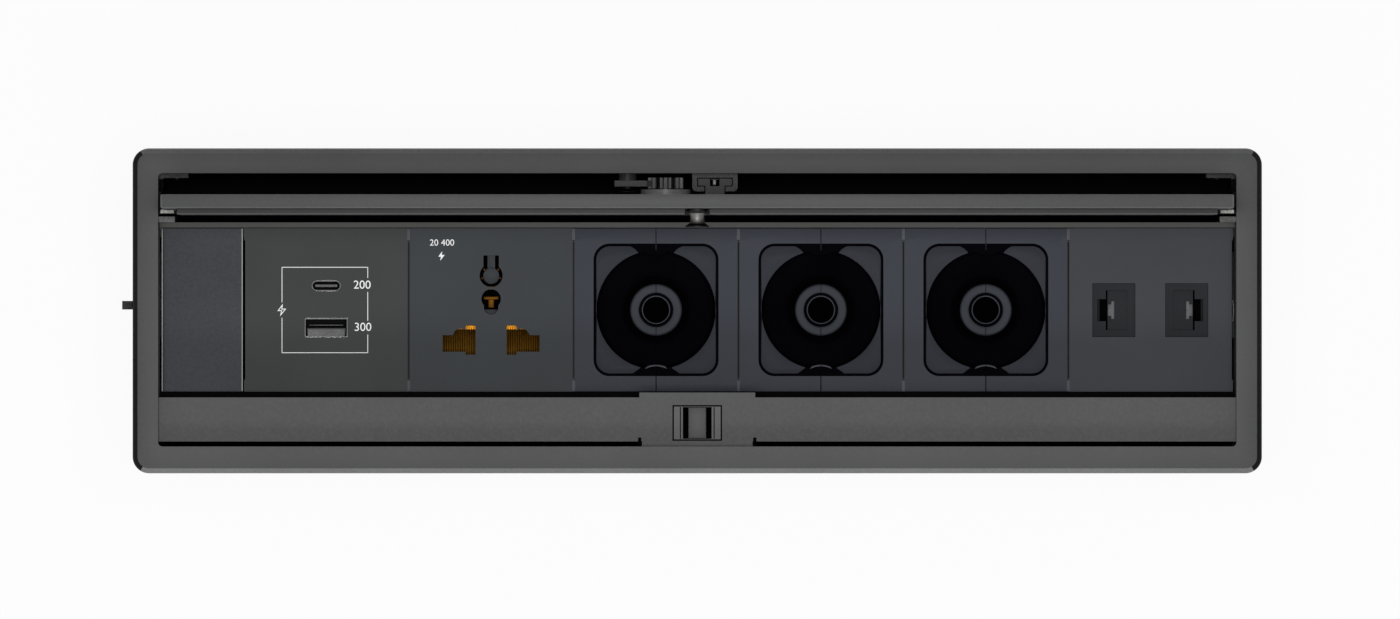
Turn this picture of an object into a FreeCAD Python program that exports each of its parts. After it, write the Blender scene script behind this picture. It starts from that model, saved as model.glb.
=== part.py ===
import FreeCAD, Part
import math
import os
import Sketcher
from types import SimpleNamespace

# An in-desk power module with a flip-up lid.
# X runs along the module row, Y to the rear where the lid stands, Z up.
# The origin is the centre of the desk cut-out, on the desk's top surface.

doc = FreeCAD.newDocument("power_module")

# Driving sizes in millimetres and degrees
DRIVING = {
    # bezel, the frame that lies on the desk
    "bezel_side": 7.7,
    "bezel_front": 7.5,
    "bezel_thick": 3.0,
    "bezel_corner": 5.0,
    "bezel_chamfer": 1.2,
    "opening_corner": 1.3,
    # housing trough
    "wall": 1.5,
    "housing_depth": 100.0,
    "fold_radius": 2.0,
    "cable_hole": 40.0,
    "cable_exit": 31.0,
    "cable_shade": 2.8,
    "run_gap": 0.3,
    "screw_play": 0.05,
    # module row
    "row_drop": 27.0,
    "front_bay": 17.1,
    "rear_bay": 16.6,
    "row_depth": 49.5,
    "module_pitch": 50.0,
    "row_play": 0.4,
    "plate_thick": 2.5,
    "plate_play": 0.1,
    "plate_relief": 0.35,
    "relief_end": 3.6,
    "skirt_depth": 1.5,
    "skirt_thick": 1.5,
    # rails that carry the modules
    "rail_gap": 0.3,
    "rail_sheet": 1.5,
    "rail_ledge": 2.8,
    "rail_rise": 1.0,
    "rail_height": 18.0,
    # front rail with the latch
    "front_drop": 4.0,
    "front_sheet": 1.5,
    "front_slot": 2.1,
    "front_wide": 13.3,
    "front_leg": 34.0,
    "tab_half": 17.5,
    "tab_overhang": 1.5,
    "tab_notch": 0.8,
    "tab_notch_long": 2.7,
    # touch latch
    "latch_in": 5.6,
    "latch_length": 14.8,
    "latch_width": 10.6,
    "latch_depth": 20.0,
    "latch_wall": 1.0,
    "latch_mouth": 8.8,
    "latch_lip": 1.0,
    "plunger_length": 5.7,
    "plunger_drop": 3.0,
    "plunger_tall": 5.0,
    "spring_wire": 0.5,
    "spring_width": 4.0,
    # lid on its hinge
    "lid_play": 1.2,
    "lid_width": 82.0,
    "lid_thick": 4.2,
    "lid_tail": 8.5,
    "lid_edge": 0.4,
    "liner_inset": 5.7,
    "liner_width": 76.5,
    "liner_thick": 1.8,
    "liner_tail": 6.5,
    "hinge_bay": 9.1,
    "hinge_pin": 2.4,
    "hinge_pin_long": 7.5,
    "lid_out": 2.4,
    "leaf_long": 4.0,
    "leaf_thick": 0.9,
    "leaf_gap": 0.4,
    "leaf_tall": 34.0,
    "leaf_pad": 6.0,
    "striker_reach": 66.4,
    "striker_base": 6.3,
    "striker_neck": 3.5,
    "striker_head": 7.2,
    "striker_tall": 3.8,
    # carriage that lifts the lid
    "travel": 71.1,
    "arm_sheet": 0.7,
    "arm_play": 0.25,
    "arm_width": 6.8,
    "beam_top": 11.5,
    "beam_tall": 10.0,
    "beam_reach": 3.3,
    "beam_web": 1.5,
    # guide with a T-slot
    "guide_x": 5.35,
    "guide_width": 13.7,
    "guide_deep": 5.4,
    "guide_back": 1.3,
    "guide_lip": 1.4,
    "guide_mouth": 6.4,
    "guide_cavity": 10.8,
    "guide_round": 1.2,
    "track_top": 10.5,
    "track_foot": 95.0,
    "runner_slot": 2.6,
    "runner_screw_rise": 1.75,
    # rack and damper
    "gear_module": 0.8,
    "gear_teeth": 12,
    "pinion_x": 9.6,
    "pinion_addendum": 0.7,
    "pinion_wide": 3.25,
    "rack_addendum": 0.45,
    "tooth_root": 0.95,
    "backlash": 0.16,
    "rack_back_x": 25.0,
    "rack_thick": 1.75,
    "rack_standoff": 2.2,
    "rack_boss": 5.4,
    "rack_boss_x": 21.1,
    "rack_boss_end": 9.5,
    "damper_disc": 15.1,
    "damper_thick": 1.85,
    "damper_post": 2.4,
    "damper_screw_pitch": 9.0,
    # brackets, side tracks and screws
    "bracket_long": 8.9,
    "bracket_short": 4.7,
    "bracket_sheet": 1.4,
    "bracket_top": 10.5,
    "bracket_tall": 50.0,
    "bracket_screw_in": 5.3,
    "bracket_screw_end": 10.0,
    "track_long": 4.7,
    "track_thick": 1.7,
    "track_reach": 5.7,
    "track_start": 3.7,
    "track_play": 0.2,
    "screw_head": 3.2,
    "screw_head_tall": 0.8,
    "screw_shank": 2.0,
    "rack_screw_head": 5.0,
    "rack_screw_head_tall": 1.4,
    "rack_screw_shank": 2.5,
    # usb module
    "usb_c_y": 7.6,
    "usb_c_length": 8.9,
    "usb_c_width": 3.2,
    "usb_a_y": -5.1,
    "usb_a_length": 13.1,
    "usb_a_width": 5.7,
    "port_wall": 0.3,
    "port_play": 0.1,
    "port_sink": 0.3,
    "usb_c_tongue_long": 6.6,
    "usb_c_tongue": 0.7,
    "usb_a_tongue_long": 11.1,
    "usb_a_tongue": 2.0,
    "usb_board_long": 40.0,
    "usb_board_drop": 12.0,
    "usb_board_thick": 1.6,
    "usb_case_depth": 30.0,
    "case_side_gap": 3.0,
    "case_end_gap": 2.75,
    "case_wall": 1.6,
    # socket module
    "earth_y": 10.7,
    "earth_round": 7.0,
    "earth_slot": 4.7,
    "earth_top": 16.8,
    "link_y": 3.6,
    "link_round": 5.9,
    "link_foot_y": 1.1,
    "link_foot_round": 4.4,
    "pin_in": 4.9,
    "pin_out": 14.7,
    "pin_top": -7.4,
    "pin_foot": -12.4,
    "blade_in": 4.7,
    "blade_out": 7.7,
    "blade_top": -4.4,
    "blade_foot": -13.3,
    "lobe_x": 9.2,
    "lobe_y": -7.8,
    "lobe_round": 4.8,
    "socket_depth": 24.0,
    "chamber_depth": 21.0,
    "chamber_play": 0.7,
    "contact_sheet": 0.8,
    "contact_leaf": 15.0,
    "terminal_width": 4.0,
    "terminal_long": 6.0,
    # cable port module
    "port_side_rim": 0.9,
    "port_end_rim": 2.05,
    "port_y": 0.3,
    "port_recess": 0.5,
    "port_corner": 4.9,
    "groove_width": 0.6,
    "groove_deep": 0.9,
    "funnel_margin": 13.65,
    "funnel_deep": 13.0,
    "funnel_wall": 1.4,
    "hub_round": 15.1,
    "hub_inner": 10.3,
    "hub_hole": 8.0,
    "hub_step": 0.8,
    "hub_drop": 1.0,
    "hub_fillet": 2.6,
    "hub_tail": 5.0,
    "scallop_wide": 14.5,
    "scallop_deep": 2.2,
    # data module
    "jack_left_in": 11.2,
    "jack_pitch": 22.1,
    "jack_y": 0.2,
    "jack_wide": 13.0,
    "jack_tall": 16.3,
    "jack_deep": 30.0,
    "jack_sink": 1.0,
    "jack_play": 0.1,
    "plug_wide": 6.6,
    "plug_tall": 12.1,
    "plug_deep": 13.0,
    "plug_shift": 0.9,
    "notch_wide": 2.6,
    "notch_tall": 6.7,
    "jack_wire": 0.4,
    "jack_wire_pitch": 1.02,
    "jack_wires": 8,
    # power inlet in the floor
    "inlet_long": 27.0,
    "inlet_wide": 20.0,
    "inlet_deep": 18.0,
    "inlet_wall": 1.4,
    "inlet_floor": 3.0,
    "inlet_flange": 3.5,
    "inlet_flange_thick": 2.0,
    "inlet_pin_long": 4.0,
    "inlet_pin_thick": 2.0,
    "inlet_pin_reach": 11.5,
    "inlet_pin_pitch": 7.0,
    "inlet_earth_rise": 4.0,
    "inlet_tab": 5.0,
    "wire_round": 2.0,
    # desk clamps
    "clamp_in": 4.0,
    "clamp_y": 1.7,
    "clamp_screw": 4.0,
    "clamp_head": 6.4,
    "clamp_head_tall": 2.2,
    "clamp_ear_top": 34.5,
    "clamp_ear_foot": 80.0,
    "clamp_ear": 1.5,
    "clamp_back": 6.5,
    "dog_reach": 15.6,
    "dog_thick": 2.6,
    "dog_boss": 6.0,
    "dog_boss_top": 49.8,
    "dog_boss_tall": 8.0,
    "dog_tip": 3.0,
    "dog_tip_top": 33.5,
    "dog_play": 0.08,
    "dog_right_degrees": 50.0,
    "window_top": 32.5,
    "window_foot": 76.0,
}

# The row counts in half modules: each module starts this many halves from the left
ROW_MODULES = 6.5
SOCKET_INDEX = 3
CABLE_INDEXES = (5, 7, 9)
DATA_INDEX = 11

sheet = doc.addObject("Spreadsheet::Sheet", "Sizes")
for row, (alias, number) in enumerate(DRIVING.items(), start=1):
    sheet.set(f"A{row}", alias)
    sheet.set(f"B{row}", str(number))
    sheet.setAlias(f"B{row}", alias)
doc.recompute()


class Rule:
    """A size worked out from the sheet: its number, and the formula that gives it."""

    def __init__(self, number, text):
        self.number = number
        self.text = text

    def _join(self, other, sign, number, swapped=False):
        other = as_rule(other)
        left, right = (other, self) if swapped else (self, other)
        return Rule(number(left.number, right.number), f"({left.text} {sign} {right.text})")

    def __add__(self, other):
        return self._join(other, "+", lambda a, b: a + b)

    def __radd__(self, other):
        return self._join(other, "+", lambda a, b: a + b, swapped=True)

    def __sub__(self, other):
        return self._join(other, "-", lambda a, b: a - b)

    def __rsub__(self, other):
        return self._join(other, "-", lambda a, b: a - b, swapped=True)

    def __mul__(self, other):
        return self._join(other, "*", lambda a, b: a * b)

    def __rmul__(self, other):
        return self._join(other, "*", lambda a, b: a * b, swapped=True)

    def __truediv__(self, other):
        return self._join(other, "/", lambda a, b: a / b)

    def __neg__(self):
        return Rule(-self.number, f"(0 - {self.text})")

    def __float__(self):
        return float(self.number)


def as_rule(value):
    """A plain number joins a formula as it is."""
    if isinstance(value, Rule):
        return value
    return Rule(float(value), f"({float(value)!r})")


s = SimpleNamespace(**{name: Rule(float(sheet.get(name)), f"Sizes.{name}") for name in DRIVING})


def tie(thing, prop, value):
    """Binds one property to its formula in the sheet."""
    thing.setExpression(prop, as_rule(value).text)


# The row of modules sets the length, and the bays before and behind it the width
s.row_length = s.module_pitch * ROW_MODULES
s.opening_length = s.row_length + s.row_play * 2
s.opening_width = s.front_bay + s.row_depth + s.rear_bay
s.bezel_length = s.opening_length + s.bezel_side * 2
s.bezel_width = s.opening_width + s.bezel_front * 2
s.lid_length = s.opening_length - s.lid_play * 2
s.liner_length = s.lid_length - s.liner_inset * 2

# Levels and planes that several pieces share
half_opening = s.opening_length / 2
rear_wall = s.opening_width / 2
s.case_wide = s.module_pitch - s.case_side_gap * 2
s.case_long = s.row_depth - s.case_end_gap * 2
s.funnel_round = (s.row_depth + s.module_pitch) / 2 - s.funnel_margin
s.port_x_size = s.funnel_round + s.port_side_rim * 2
s.port_y_size = s.funnel_round + s.port_end_rim * 2
s.row_rear = rear_wall - s.rear_bay
s.front_front_edge = rear_wall - s.front_slot
s.front_rear_edge = s.front_front_edge - s.front_wide
s.tab_rear_edge = s.front_rear_edge - s.tab_overhang
s.latch_y = s.front_front_edge - s.latch_in
s.hinge_y = rear_wall - s.hinge_bay
s.beam_front = s.hinge_y - s.beam_reach
s.track_y = s.hinge_y - s.track_reach
s.bracket_screw_x = half_opening - s.bracket_screw_in
s.clamp_x = half_opening - s.clamp_in
front_wall = -rear_wall
floor_top = s.wall - s.housing_depth
face_top = -s.row_drop
face_foot = face_top - s.plate_thick
skirt_foot = face_foot - s.skirt_depth
row_front = s.row_rear - s.row_depth
row_middle = s.row_rear - s.row_depth / 2
row_left = -s.row_length / 2
s.inlet_x = row_left + s.module_pitch * (SOCKET_INDEX + 1) / 2
hinge_z = s.bezel_thick - s.lid_out
lid_rear = s.hinge_y + s.lid_out
lid_front = lid_rear - s.lid_thick
lid_foot = hinge_z - s.lid_tail
guide_front = rear_wall - s.guide_deep
pitch_radius = s.gear_module * s.gear_teeth / 2
pinion_z = -s.beam_top - s.beam_tall / 2
pinion_start = lid_rear + s.damper_thick + s.run_gap
front_top = -s.front_drop
screw_hole = s.screw_shank + s.screw_play * 2

bodies = {}


# Helpers for solids made of sketches


def new_body(name):
    """A body that will be written as one node."""
    body = doc.addObject("PartDesign::Body", name)
    body.Label = name
    bodies[name] = body
    return body


PLANES = {"XY": "XY_Plane", "XZ": "XZ_Plane", "YZ": "YZ_Plane"}


def new_sketch(body, name, plane, level):
    """A sketch parallel to one of the body's own planes, at a level along its normal axis."""
    sketch = body.newObject("Sketcher::SketchObject", name)
    roles = {feature.Role: feature for feature in body.Origin.OriginFeatures}
    sketch.AttachmentSupport = [(roles[PLANES[plane]], "")]
    sketch.MapMode = "FlatFace"
    height = -as_rule(level) if plane == "XZ" else as_rule(level)
    tie(sketch, "AttachmentOffset.Base.z", height)
    return sketch


def place_vertex(sketch, line, end, point):
    """Holds one end of a line at its two distances from the origin."""
    for kind, value in (("DistanceX", point[0]), ("DistanceY", point[1])):
        number = sketch.addConstraint(Sketcher.Constraint(kind, -1, 1, line, end, float(as_rule(value))))
        tie(sketch, f"Constraints[{number}]", value)


def add_polygon(sketch, points):
    """A closed outline of straight lines through the points."""
    corners = [FreeCAD.Vector(float(as_rule(u)), float(as_rule(v)), 0) for u, v in points]
    first = sketch.GeometryCount
    count = len(corners)
    for i in range(count):
        sketch.addGeometry(Part.LineSegment(corners[i], corners[(i + 1) % count]), False)
    for i in range(count):
        following = first + (i + 1) % count
        sketch.addConstraint(Sketcher.Constraint("Coincident", first + i, 2, following, 1))
    for i in range(count):
        place_vertex(sketch, first + i, 1, points[i])


def add_rectangle(sketch, low, high):
    """A rectangle between two opposite corners."""
    add_polygon(sketch, [low, (high[0], low[1]), high, (low[0], high[1])])


def add_circle(sketch, centre, diameter):
    """A circle held at its centre and radius."""
    middle = FreeCAD.Vector(float(as_rule(centre[0])), float(as_rule(centre[1])), 0)
    radius = as_rule(diameter) / 2
    index = sketch.addGeometry(Part.Circle(middle, FreeCAD.Vector(0, 0, 1), float(radius)), False)
    place_vertex(sketch, index, 3, centre)
    number = sketch.addConstraint(Sketcher.Constraint("Radius", index, float(radius)))
    tie(sketch, f"Constraints[{number}]", radius)


def draw(sketch, shapes):
    """Draws each shape: a list of points, a pair of corners or a centre with a diameter."""
    for kind, *facts in shapes:
        {"polygon": add_polygon, "rectangle": add_rectangle, "circle": add_circle}[kind](sketch, *facts)


def add_pad(body, name, plane, shapes, low, high):
    """Material between two levels along the plane's axis."""
    sketch = new_sketch(body, name + "_sketch", plane, low)
    draw(sketch, shapes)
    pad = body.newObject("PartDesign::Pad", name)
    pad.Profile = sketch
    tie(pad, "Length", as_rule(high) - low)
    pad.Reversed = plane == "XZ"
    return pad


def add_pocket(body, name, plane, shapes, low, high):
    """A cut between two levels along the plane's axis, which has to take material away."""
    doc.recompute()
    before = body.Shape.Volume
    sketch = new_sketch(body, name + "_sketch", plane, low)
    draw(sketch, shapes)
    pocket = body.newObject("PartDesign::Pocket", name)
    pocket.Profile = sketch
    tie(pocket, "Length", as_rule(high) - low)
    pocket.Reversed = plane != "XZ"
    doc.recompute()
    if body.Shape.Volume >= before:
        raise ValueError(f"{body.Label}: {name} cuts nothing")
    return pocket


def dress_edges(body, kind, name, radius, wanted):
    """Rounds or chamfers the body's edges that the test picks by their place."""
    doc.recompute()
    base = body.Tip
    picked = [f"Edge{i + 1}" for i, edge in enumerate(base.Shape.Edges) if wanted(edge)]
    if not picked:
        raise ValueError(f"{body.Label}: no edge for {name}")
    feature = body.newObject(kind, name)
    feature.Base = (base, picked)
    tie(feature, "Radius" if kind.endswith("Fillet") else "Size", radius)
    return feature


def fillet(body, name, radius, wanted):
    return dress_edges(body, "PartDesign::Fillet", name, radius, wanted)


def chamfer(body, name, size, wanted):
    return dress_edges(body, "PartDesign::Chamfer", name, size, wanted)


def near(a, b):
    return abs(float(as_rule(a)) - float(as_rule(b))) < 0.01


def runs_along(edge, axis):
    """True for a straight edge parallel to X, Y or Z."""
    if edge.Curve.TypeId != "Part::GeomLine":
        return False
    along = edge.Curve.Direction
    return abs(abs(getattr(along, axis)) - 1) < 1e-6


def turn_profile(body, name, points):
    """Turns an outline of radius and height about the body's Z axis."""
    sketch = new_sketch(body, name + "_sketch", "XZ", 0)
    draw(sketch, [("polygon", points)])
    feature = body.newObject("PartDesign::Revolution", name)
    feature.Profile = sketch
    feature.ReferenceAxis = (sketch, ["V_Axis"])
    feature.Angle = 360.0
    return feature


def move_body(body, x=0, y=0, z=0, rotation=None):
    """Puts a body at its place, tied to the sheet."""
    if rotation is not None:
        body.Placement = FreeCAD.Placement(FreeCAD.Vector(), rotation)
    for letter, value in (("x", x), ("y", y), ("z", z)):
        tie(body, f"Placement.Base.{letter}", value)


def block(body, name, low, high):
    """A straight block between two opposite corners."""
    outline = [("rectangle", (low[0], low[1]), (high[0], high[1]))]
    return add_pad(body, name, "XY", outline, low[2], high[2])


def across(side, near_x, far_x):
    """Orders two distances from the middle as low and high X, on the left or the right side."""
    return (-as_rule(far_x), -as_rule(near_x)) if side == "left" else (near_x, far_x)


# Helpers for groups of like fasteners, made of primitives

AXES = {
    "+X": FreeCAD.Rotation(FreeCAD.Vector(0, 1, 0), 90),
    "-X": FreeCAD.Rotation(FreeCAD.Vector(0, 1, 0), -90),
    "+Y": FreeCAD.Rotation(FreeCAD.Vector(1, 0, 0), -90),
    "-Y": FreeCAD.Rotation(FreeCAD.Vector(1, 0, 0), 90),
    "+Z": FreeCAD.Rotation(),
}
STEPS = {"+X": (1, 0, 0), "-X": (-1, 0, 0), "+Y": (0, 1, 0), "-Y": (0, -1, 0), "+Z": (0, 0, 1)}


def rod(name, start, axis, diameter, length):
    """A round bar from a point along an axis."""
    cylinder = doc.addObject("Part::Cylinder", name)
    cylinder.Placement = FreeCAD.Placement(FreeCAD.Vector(), AXES[axis])
    tie(cylinder, "Radius", as_rule(diameter) / 2)
    tie(cylinder, "Height", length)
    for letter, value in zip("xyz", start):
        tie(cylinder, f"Placement.Base.{letter}", value)
    return cylinder


def pan_screw(name, seat, axis, head, head_tall, shank, grip):
    """A screw whose head sits on a seat and whose shank runs along the axis."""
    back = [as_rule(value) - head_tall * step for value, step in zip(seat, STEPS[axis])]
    top = rod(name + "_head", back, axis, head, head_tall)
    stem = rod(name + "_shank", seat, axis, shank, grip)
    screw = doc.addObject("Part::Fuse", name)
    screw.Base = top
    screw.Tool = stem
    return screw


def small_screw(name, seat, grip):
    """The small screw of the brackets and of the runner, with its head towards the front."""
    return pan_screw(name, seat, "+Y", s.screw_head, s.screw_head_tall, s.screw_shank, grip)


def group(name, members):
    """Several like solids in one node."""
    compound = doc.addObject("Part::Compound", name)
    compound.Label = name
    compound.Links = members
    bodies[name] = compound


# Bezel


def make_bezel():
    half_x, half_y = s.bezel_length / 2, s.bezel_width / 2
    body = new_body("bezel")
    outline = [("rectangle", (-half_x, -half_y), (half_x, half_y))]
    add_pad(body, "bezel_plate", "XY", outline, 0, s.bezel_thick)
    fillet(body, "bezel_corners", s.bezel_corner, lambda edge: runs_along(edge, "z"))
    opening = [("rectangle", (-half_opening, front_wall), (half_opening, rear_wall))]
    add_pocket(body, "bezel_opening", "XY", opening, 0, s.bezel_thick)

    def inner_corner(edge):
        return runs_along(edge, "z") and near(abs(edge.CenterOfMass.x), half_opening)

    fillet(body, "bezel_opening_corners", s.opening_corner, inner_corner)

    def outer_top(edge):
        box = edge.BoundBox
        end = float(half_opening + s.bezel_side / 2)
        front = float(rear_wall + s.bezel_front / 2)
        outside = max(-box.XMin, box.XMax) > end or max(-box.YMin, box.YMax) > front
        return outside and near(box.ZMin, s.bezel_thick) and near(box.ZMax, s.bezel_thick)

    chamfer(body, "bezel_bevel", s.bezel_chamfer, outer_top)


# Housing: a folded trough closed by two end plates


def make_housing_shell():
    outer = rear_wall + s.wall
    foot = -s.housing_depth
    body = new_body("housing_shell")
    section = [
        (-outer, 0),
        (-outer, foot),
        (outer, foot),
        (outer, 0),
        (rear_wall, 0),
        (rear_wall, floor_top),
        (front_wall, floor_top),
        (front_wall, 0),
    ]
    add_pad(body, "trough", "YZ", [("polygon", section)], -half_opening, half_opening)

    def fold(edge):
        return runs_along(edge, "x") and float(edge.CenterOfMass.z) < float(floor_top) + 0.01

    def inner_fold(edge):
        return fold(edge) and near(edge.CenterOfMass.z, floor_top)

    def outer_fold(edge):
        return fold(edge) and near(edge.CenterOfMass.z, foot)

    fillet(body, "inner_folds", s.fold_radius, inner_fold)
    fillet(body, "outer_folds", s.fold_radius + s.wall, outer_fold)
    half = s.cable_hole / 2
    exit_rear = s.port_y - s.hub_hole / 2 - s.cable_shade
    openings = []
    for centre in cable_centres():
        low, high = (centre - half, exit_rear - s.cable_exit), (centre + half, exit_rear)
        openings.append(("rectangle", low, high))
    half_long, half_wide = s.inlet_long / 2 + s.port_play, s.inlet_wide / 2 + s.port_play
    low, high = (s.inlet_x - half_long, -half_wide), (s.inlet_x + half_long, half_wide)
    openings.append(("rectangle", low, high))
    add_pocket(body, "floor_openings", "XY", openings, foot, floor_top)
    holes = []
    for side in (-1, 1):
        for level in bracket_screw_levels():
            holes.append(("circle", (side * s.bracket_screw_x, level), screw_hole))
    rack_hole = s.rack_screw_shank + s.screw_play * 2
    for level in rack_boss_levels():
        holes.append(("circle", (-s.rack_boss_x, level), rack_hole))
    add_pocket(body, "wall_holes", "XZ", holes, rear_wall, outer)


def cable_centres():
    """The middles of the three cable ports along X."""
    first = row_left + s.module_pitch * 3
    return [first + s.module_pitch * i for i in range(3)]


def bracket_screw_levels():
    top = -s.bracket_top - s.bracket_screw_end
    return [top, top - s.bracket_tall + s.bracket_screw_end * 2]


def rack_boss_levels():
    top = -s.track_top - s.rack_boss_end
    foot = s.rack_boss_end - s.track_foot
    return [top, (top + foot) / 2, foot]


def make_end_plate(side):
    outer = rear_wall + s.wall
    foot = -s.housing_depth
    low, high = across(side, half_opening, half_opening + s.wall)
    body = new_body(f"end_plate_{side}")
    add_pad(body, "plate", "YZ", [("rectangle", (-outer, foot), (outer, 0))], low, high)

    def foot_corner(edge):
        return runs_along(edge, "x") and near(edge.CenterOfMass.z, foot)

    fillet(body, "foot_corners", s.fold_radius + s.wall, foot_corner)
    clear = s.dog_thick / 2 + s.run_gap * 2
    reach = s.clamp_y + s.dog_reach + s.run_gap * 2
    window = [("rectangle", (s.clamp_y - clear, -s.window_foot), (reach, -s.window_top))]
    add_pocket(body, "dog_window", "YZ", window, low, high)


def make_corner_bracket(side):
    low, high = across(side, half_opening - s.bracket_long, half_opening)
    wall_low, wall_high = across(side, half_opening - s.bracket_sheet, half_opening)
    inner = rear_wall - s.bracket_sheet
    front = rear_wall - s.bracket_short
    top = -s.bracket_top
    foot = top - s.bracket_tall
    body = new_body(f"corner_bracket_{side}")
    block(body, "rear_leg", (low, inner, foot), (high, rear_wall, top))
    block(body, "end_leg", (wall_low, front, foot), (wall_high, inner, top))
    sign = -1 if side == "left" else 1
    screw_x = sign * s.bracket_screw_x
    holes = [("circle", (screw_x, level), screw_hole) for level in bracket_screw_levels()]
    add_pocket(body, "screw_holes", "XZ", holes, inner, rear_wall)


def make_bracket_screws():
    screws = []
    seat = rear_wall - s.bracket_sheet
    grip = s.bracket_sheet + s.wall
    for side in (-1, 1):
        for level in bracket_screw_levels():
            name = f"bracket_screw_{len(screws) + 1}"
            place = (side * s.bracket_screw_x, seat, level)
            screws.append(small_screw(name, place, grip))
    group("bracket_screws", screws)


def make_side_track(side):
    """A lip on the end wall that guides the edge of the lid."""
    low, high = across(side, half_opening - s.track_long - s.track_play, half_opening)
    wall_low, wall_high = across(side, half_opening - s.track_play - s.track_thick, half_opening)
    rear = s.track_y + s.track_thick
    body = new_body(f"side_track_{side}")
    block(body, "lip", (low, s.track_y, -s.track_foot), (high, rear, -s.track_start))
    leg_front = s.track_y - s.track_thick
    leg_top = skirt_foot - s.rail_height
    block(body, "leg", (wall_low, leg_front, -s.track_foot), (wall_high, s.track_y, leg_top))


# Rails that carry the module row


def make_module_rail(side):
    """An angle with a ledge under the modules' skirts. The rear one stands a little above their faces."""
    ledge_foot = skirt_foot - s.rail_sheet
    foot = skirt_foot - s.rail_height
    if side == "rear":
        inner = s.row_rear + s.rail_gap
        outer = inner + s.rail_sheet
        lip = inner - s.rail_ledge
        top = face_top + s.rail_rise
    else:
        outer = -s.front_rear_edge
        inner = outer + s.rail_sheet
        lip = inner + s.rail_ledge
        top = skirt_foot
    body = new_body(f"module_rail_{side}")
    if side == "rear":
        upright, ledge = (inner, outer), (lip, inner)
    else:
        upright, ledge = (outer, inner), (inner, lip)
    upright = [("rectangle", (upright[0], foot), (upright[1], top))]
    add_pad(body, "upright", "YZ", upright, -half_opening, half_opening)
    ledge = [("rectangle", (ledge[0], ledge_foot), (ledge[1], skirt_foot))]
    add_pad(body, "ledge", "YZ", ledge, -half_opening, half_opening)


# Front rail with the latch in its middle


def make_front_rail():
    top = front_top
    under = top - s.front_sheet
    foot = top - s.front_leg
    rear, front = -s.front_rear_edge, -s.front_front_edge
    body = new_body("front_rail")
    section = [
        (rear, foot),
        (rear, top),
        (front, top),
        (front, foot),
        (front + s.front_sheet, foot),
        (front + s.front_sheet, under),
        (rear - s.front_sheet, under),
        (rear - s.front_sheet, foot),
    ]
    add_pad(body, "channel", "YZ", [("polygon", section)], -half_opening, half_opening)
    tab = s.tab_half
    notch = tab - s.tab_notch
    tab_rear = -s.tab_rear_edge
    tab_shape = [
        (-tab, front_wall),
        (tab, front_wall),
        (tab, front - s.tab_notch_long / 2),
        (notch, front - s.tab_notch_long / 2),
        (notch, front),
        (tab, front),
        (tab, tab_rear),
        (-tab, tab_rear),
        (-tab, front),
        (-notch, front),
        (-notch, front - s.tab_notch_long / 2),
        (-tab, front - s.tab_notch_long / 2),
    ]
    add_pad(body, "tab", "XY", [("polygon", tab_shape)], under, top)
    half_long = s.latch_length / 2 + s.port_play
    half_wide = s.latch_width / 2 + s.port_play
    mouth = [("rectangle", (-half_long, -s.latch_y - half_wide), (half_long, -s.latch_y + half_wide))]
    add_pocket(body, "latch_opening", "XY", mouth, under, top)
    room = [("rectangle", (-half_long, front), (half_long, -s.latch_y + half_wide))]
    add_pocket(body, "latch_room", "XY", room, foot, under)


def make_latch_case():
    """The touch latch's case, held under the rail by two snap lips."""
    top = front_top
    foot = top - s.latch_depth
    half_long, half_wide = s.latch_length / 2, s.latch_width / 2
    under = top - s.front_sheet
    body = new_body("latch_case")
    case_low = (-half_long, -s.latch_y - half_wide, foot)
    block(body, "case", case_low, (half_long, -s.latch_y + half_wide, top))
    for side in ("left", "right"):
        low, high = across(side, half_long, half_long + s.latch_lip)
        lip_low = (low, -s.latch_y - half_wide / 2, under - s.latch_lip)
        block(body, f"lip_{side}", lip_low, (high, -s.latch_y + half_wide / 2, under))
    mouth = s.latch_mouth / 2
    deep = half_wide - s.latch_wall
    hollow = [("rectangle", (-mouth, -s.latch_y - deep), (mouth, -s.latch_y + deep))]
    add_pocket(body, "hollow", "XY", hollow, foot + s.latch_wall * 2, top)
    for sign, name in ((-1, "guide_line_left"), (1, "guide_line_right")):
        inner = mouth + s.port_wall
        line = sorted((sign * inner, sign * (inner + s.port_wall)), key=float)
        slit = [("rectangle", (line[0], -s.latch_y - deep), (line[1], -s.latch_y + deep))]
        add_pocket(body, name, "XY", slit, top - s.port_wall * 2, top)


def make_latch_plunger():
    top = front_top - s.plunger_drop
    foot = top - s.plunger_tall
    half_long = s.plunger_length / 2
    deep = s.latch_width / 2 - s.latch_wall - s.run_gap
    body = new_body("latch_plunger")
    block(body, "plunger", (-half_long, -s.latch_y - deep, foot), (half_long, -s.latch_y + deep, top))

    def top_edge(edge):
        return near(edge.BoundBox.ZMin, top) and near(edge.BoundBox.ZMax, top)

    fillet(body, "plunger_edge", s.port_wall * 2, top_edge)


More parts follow.
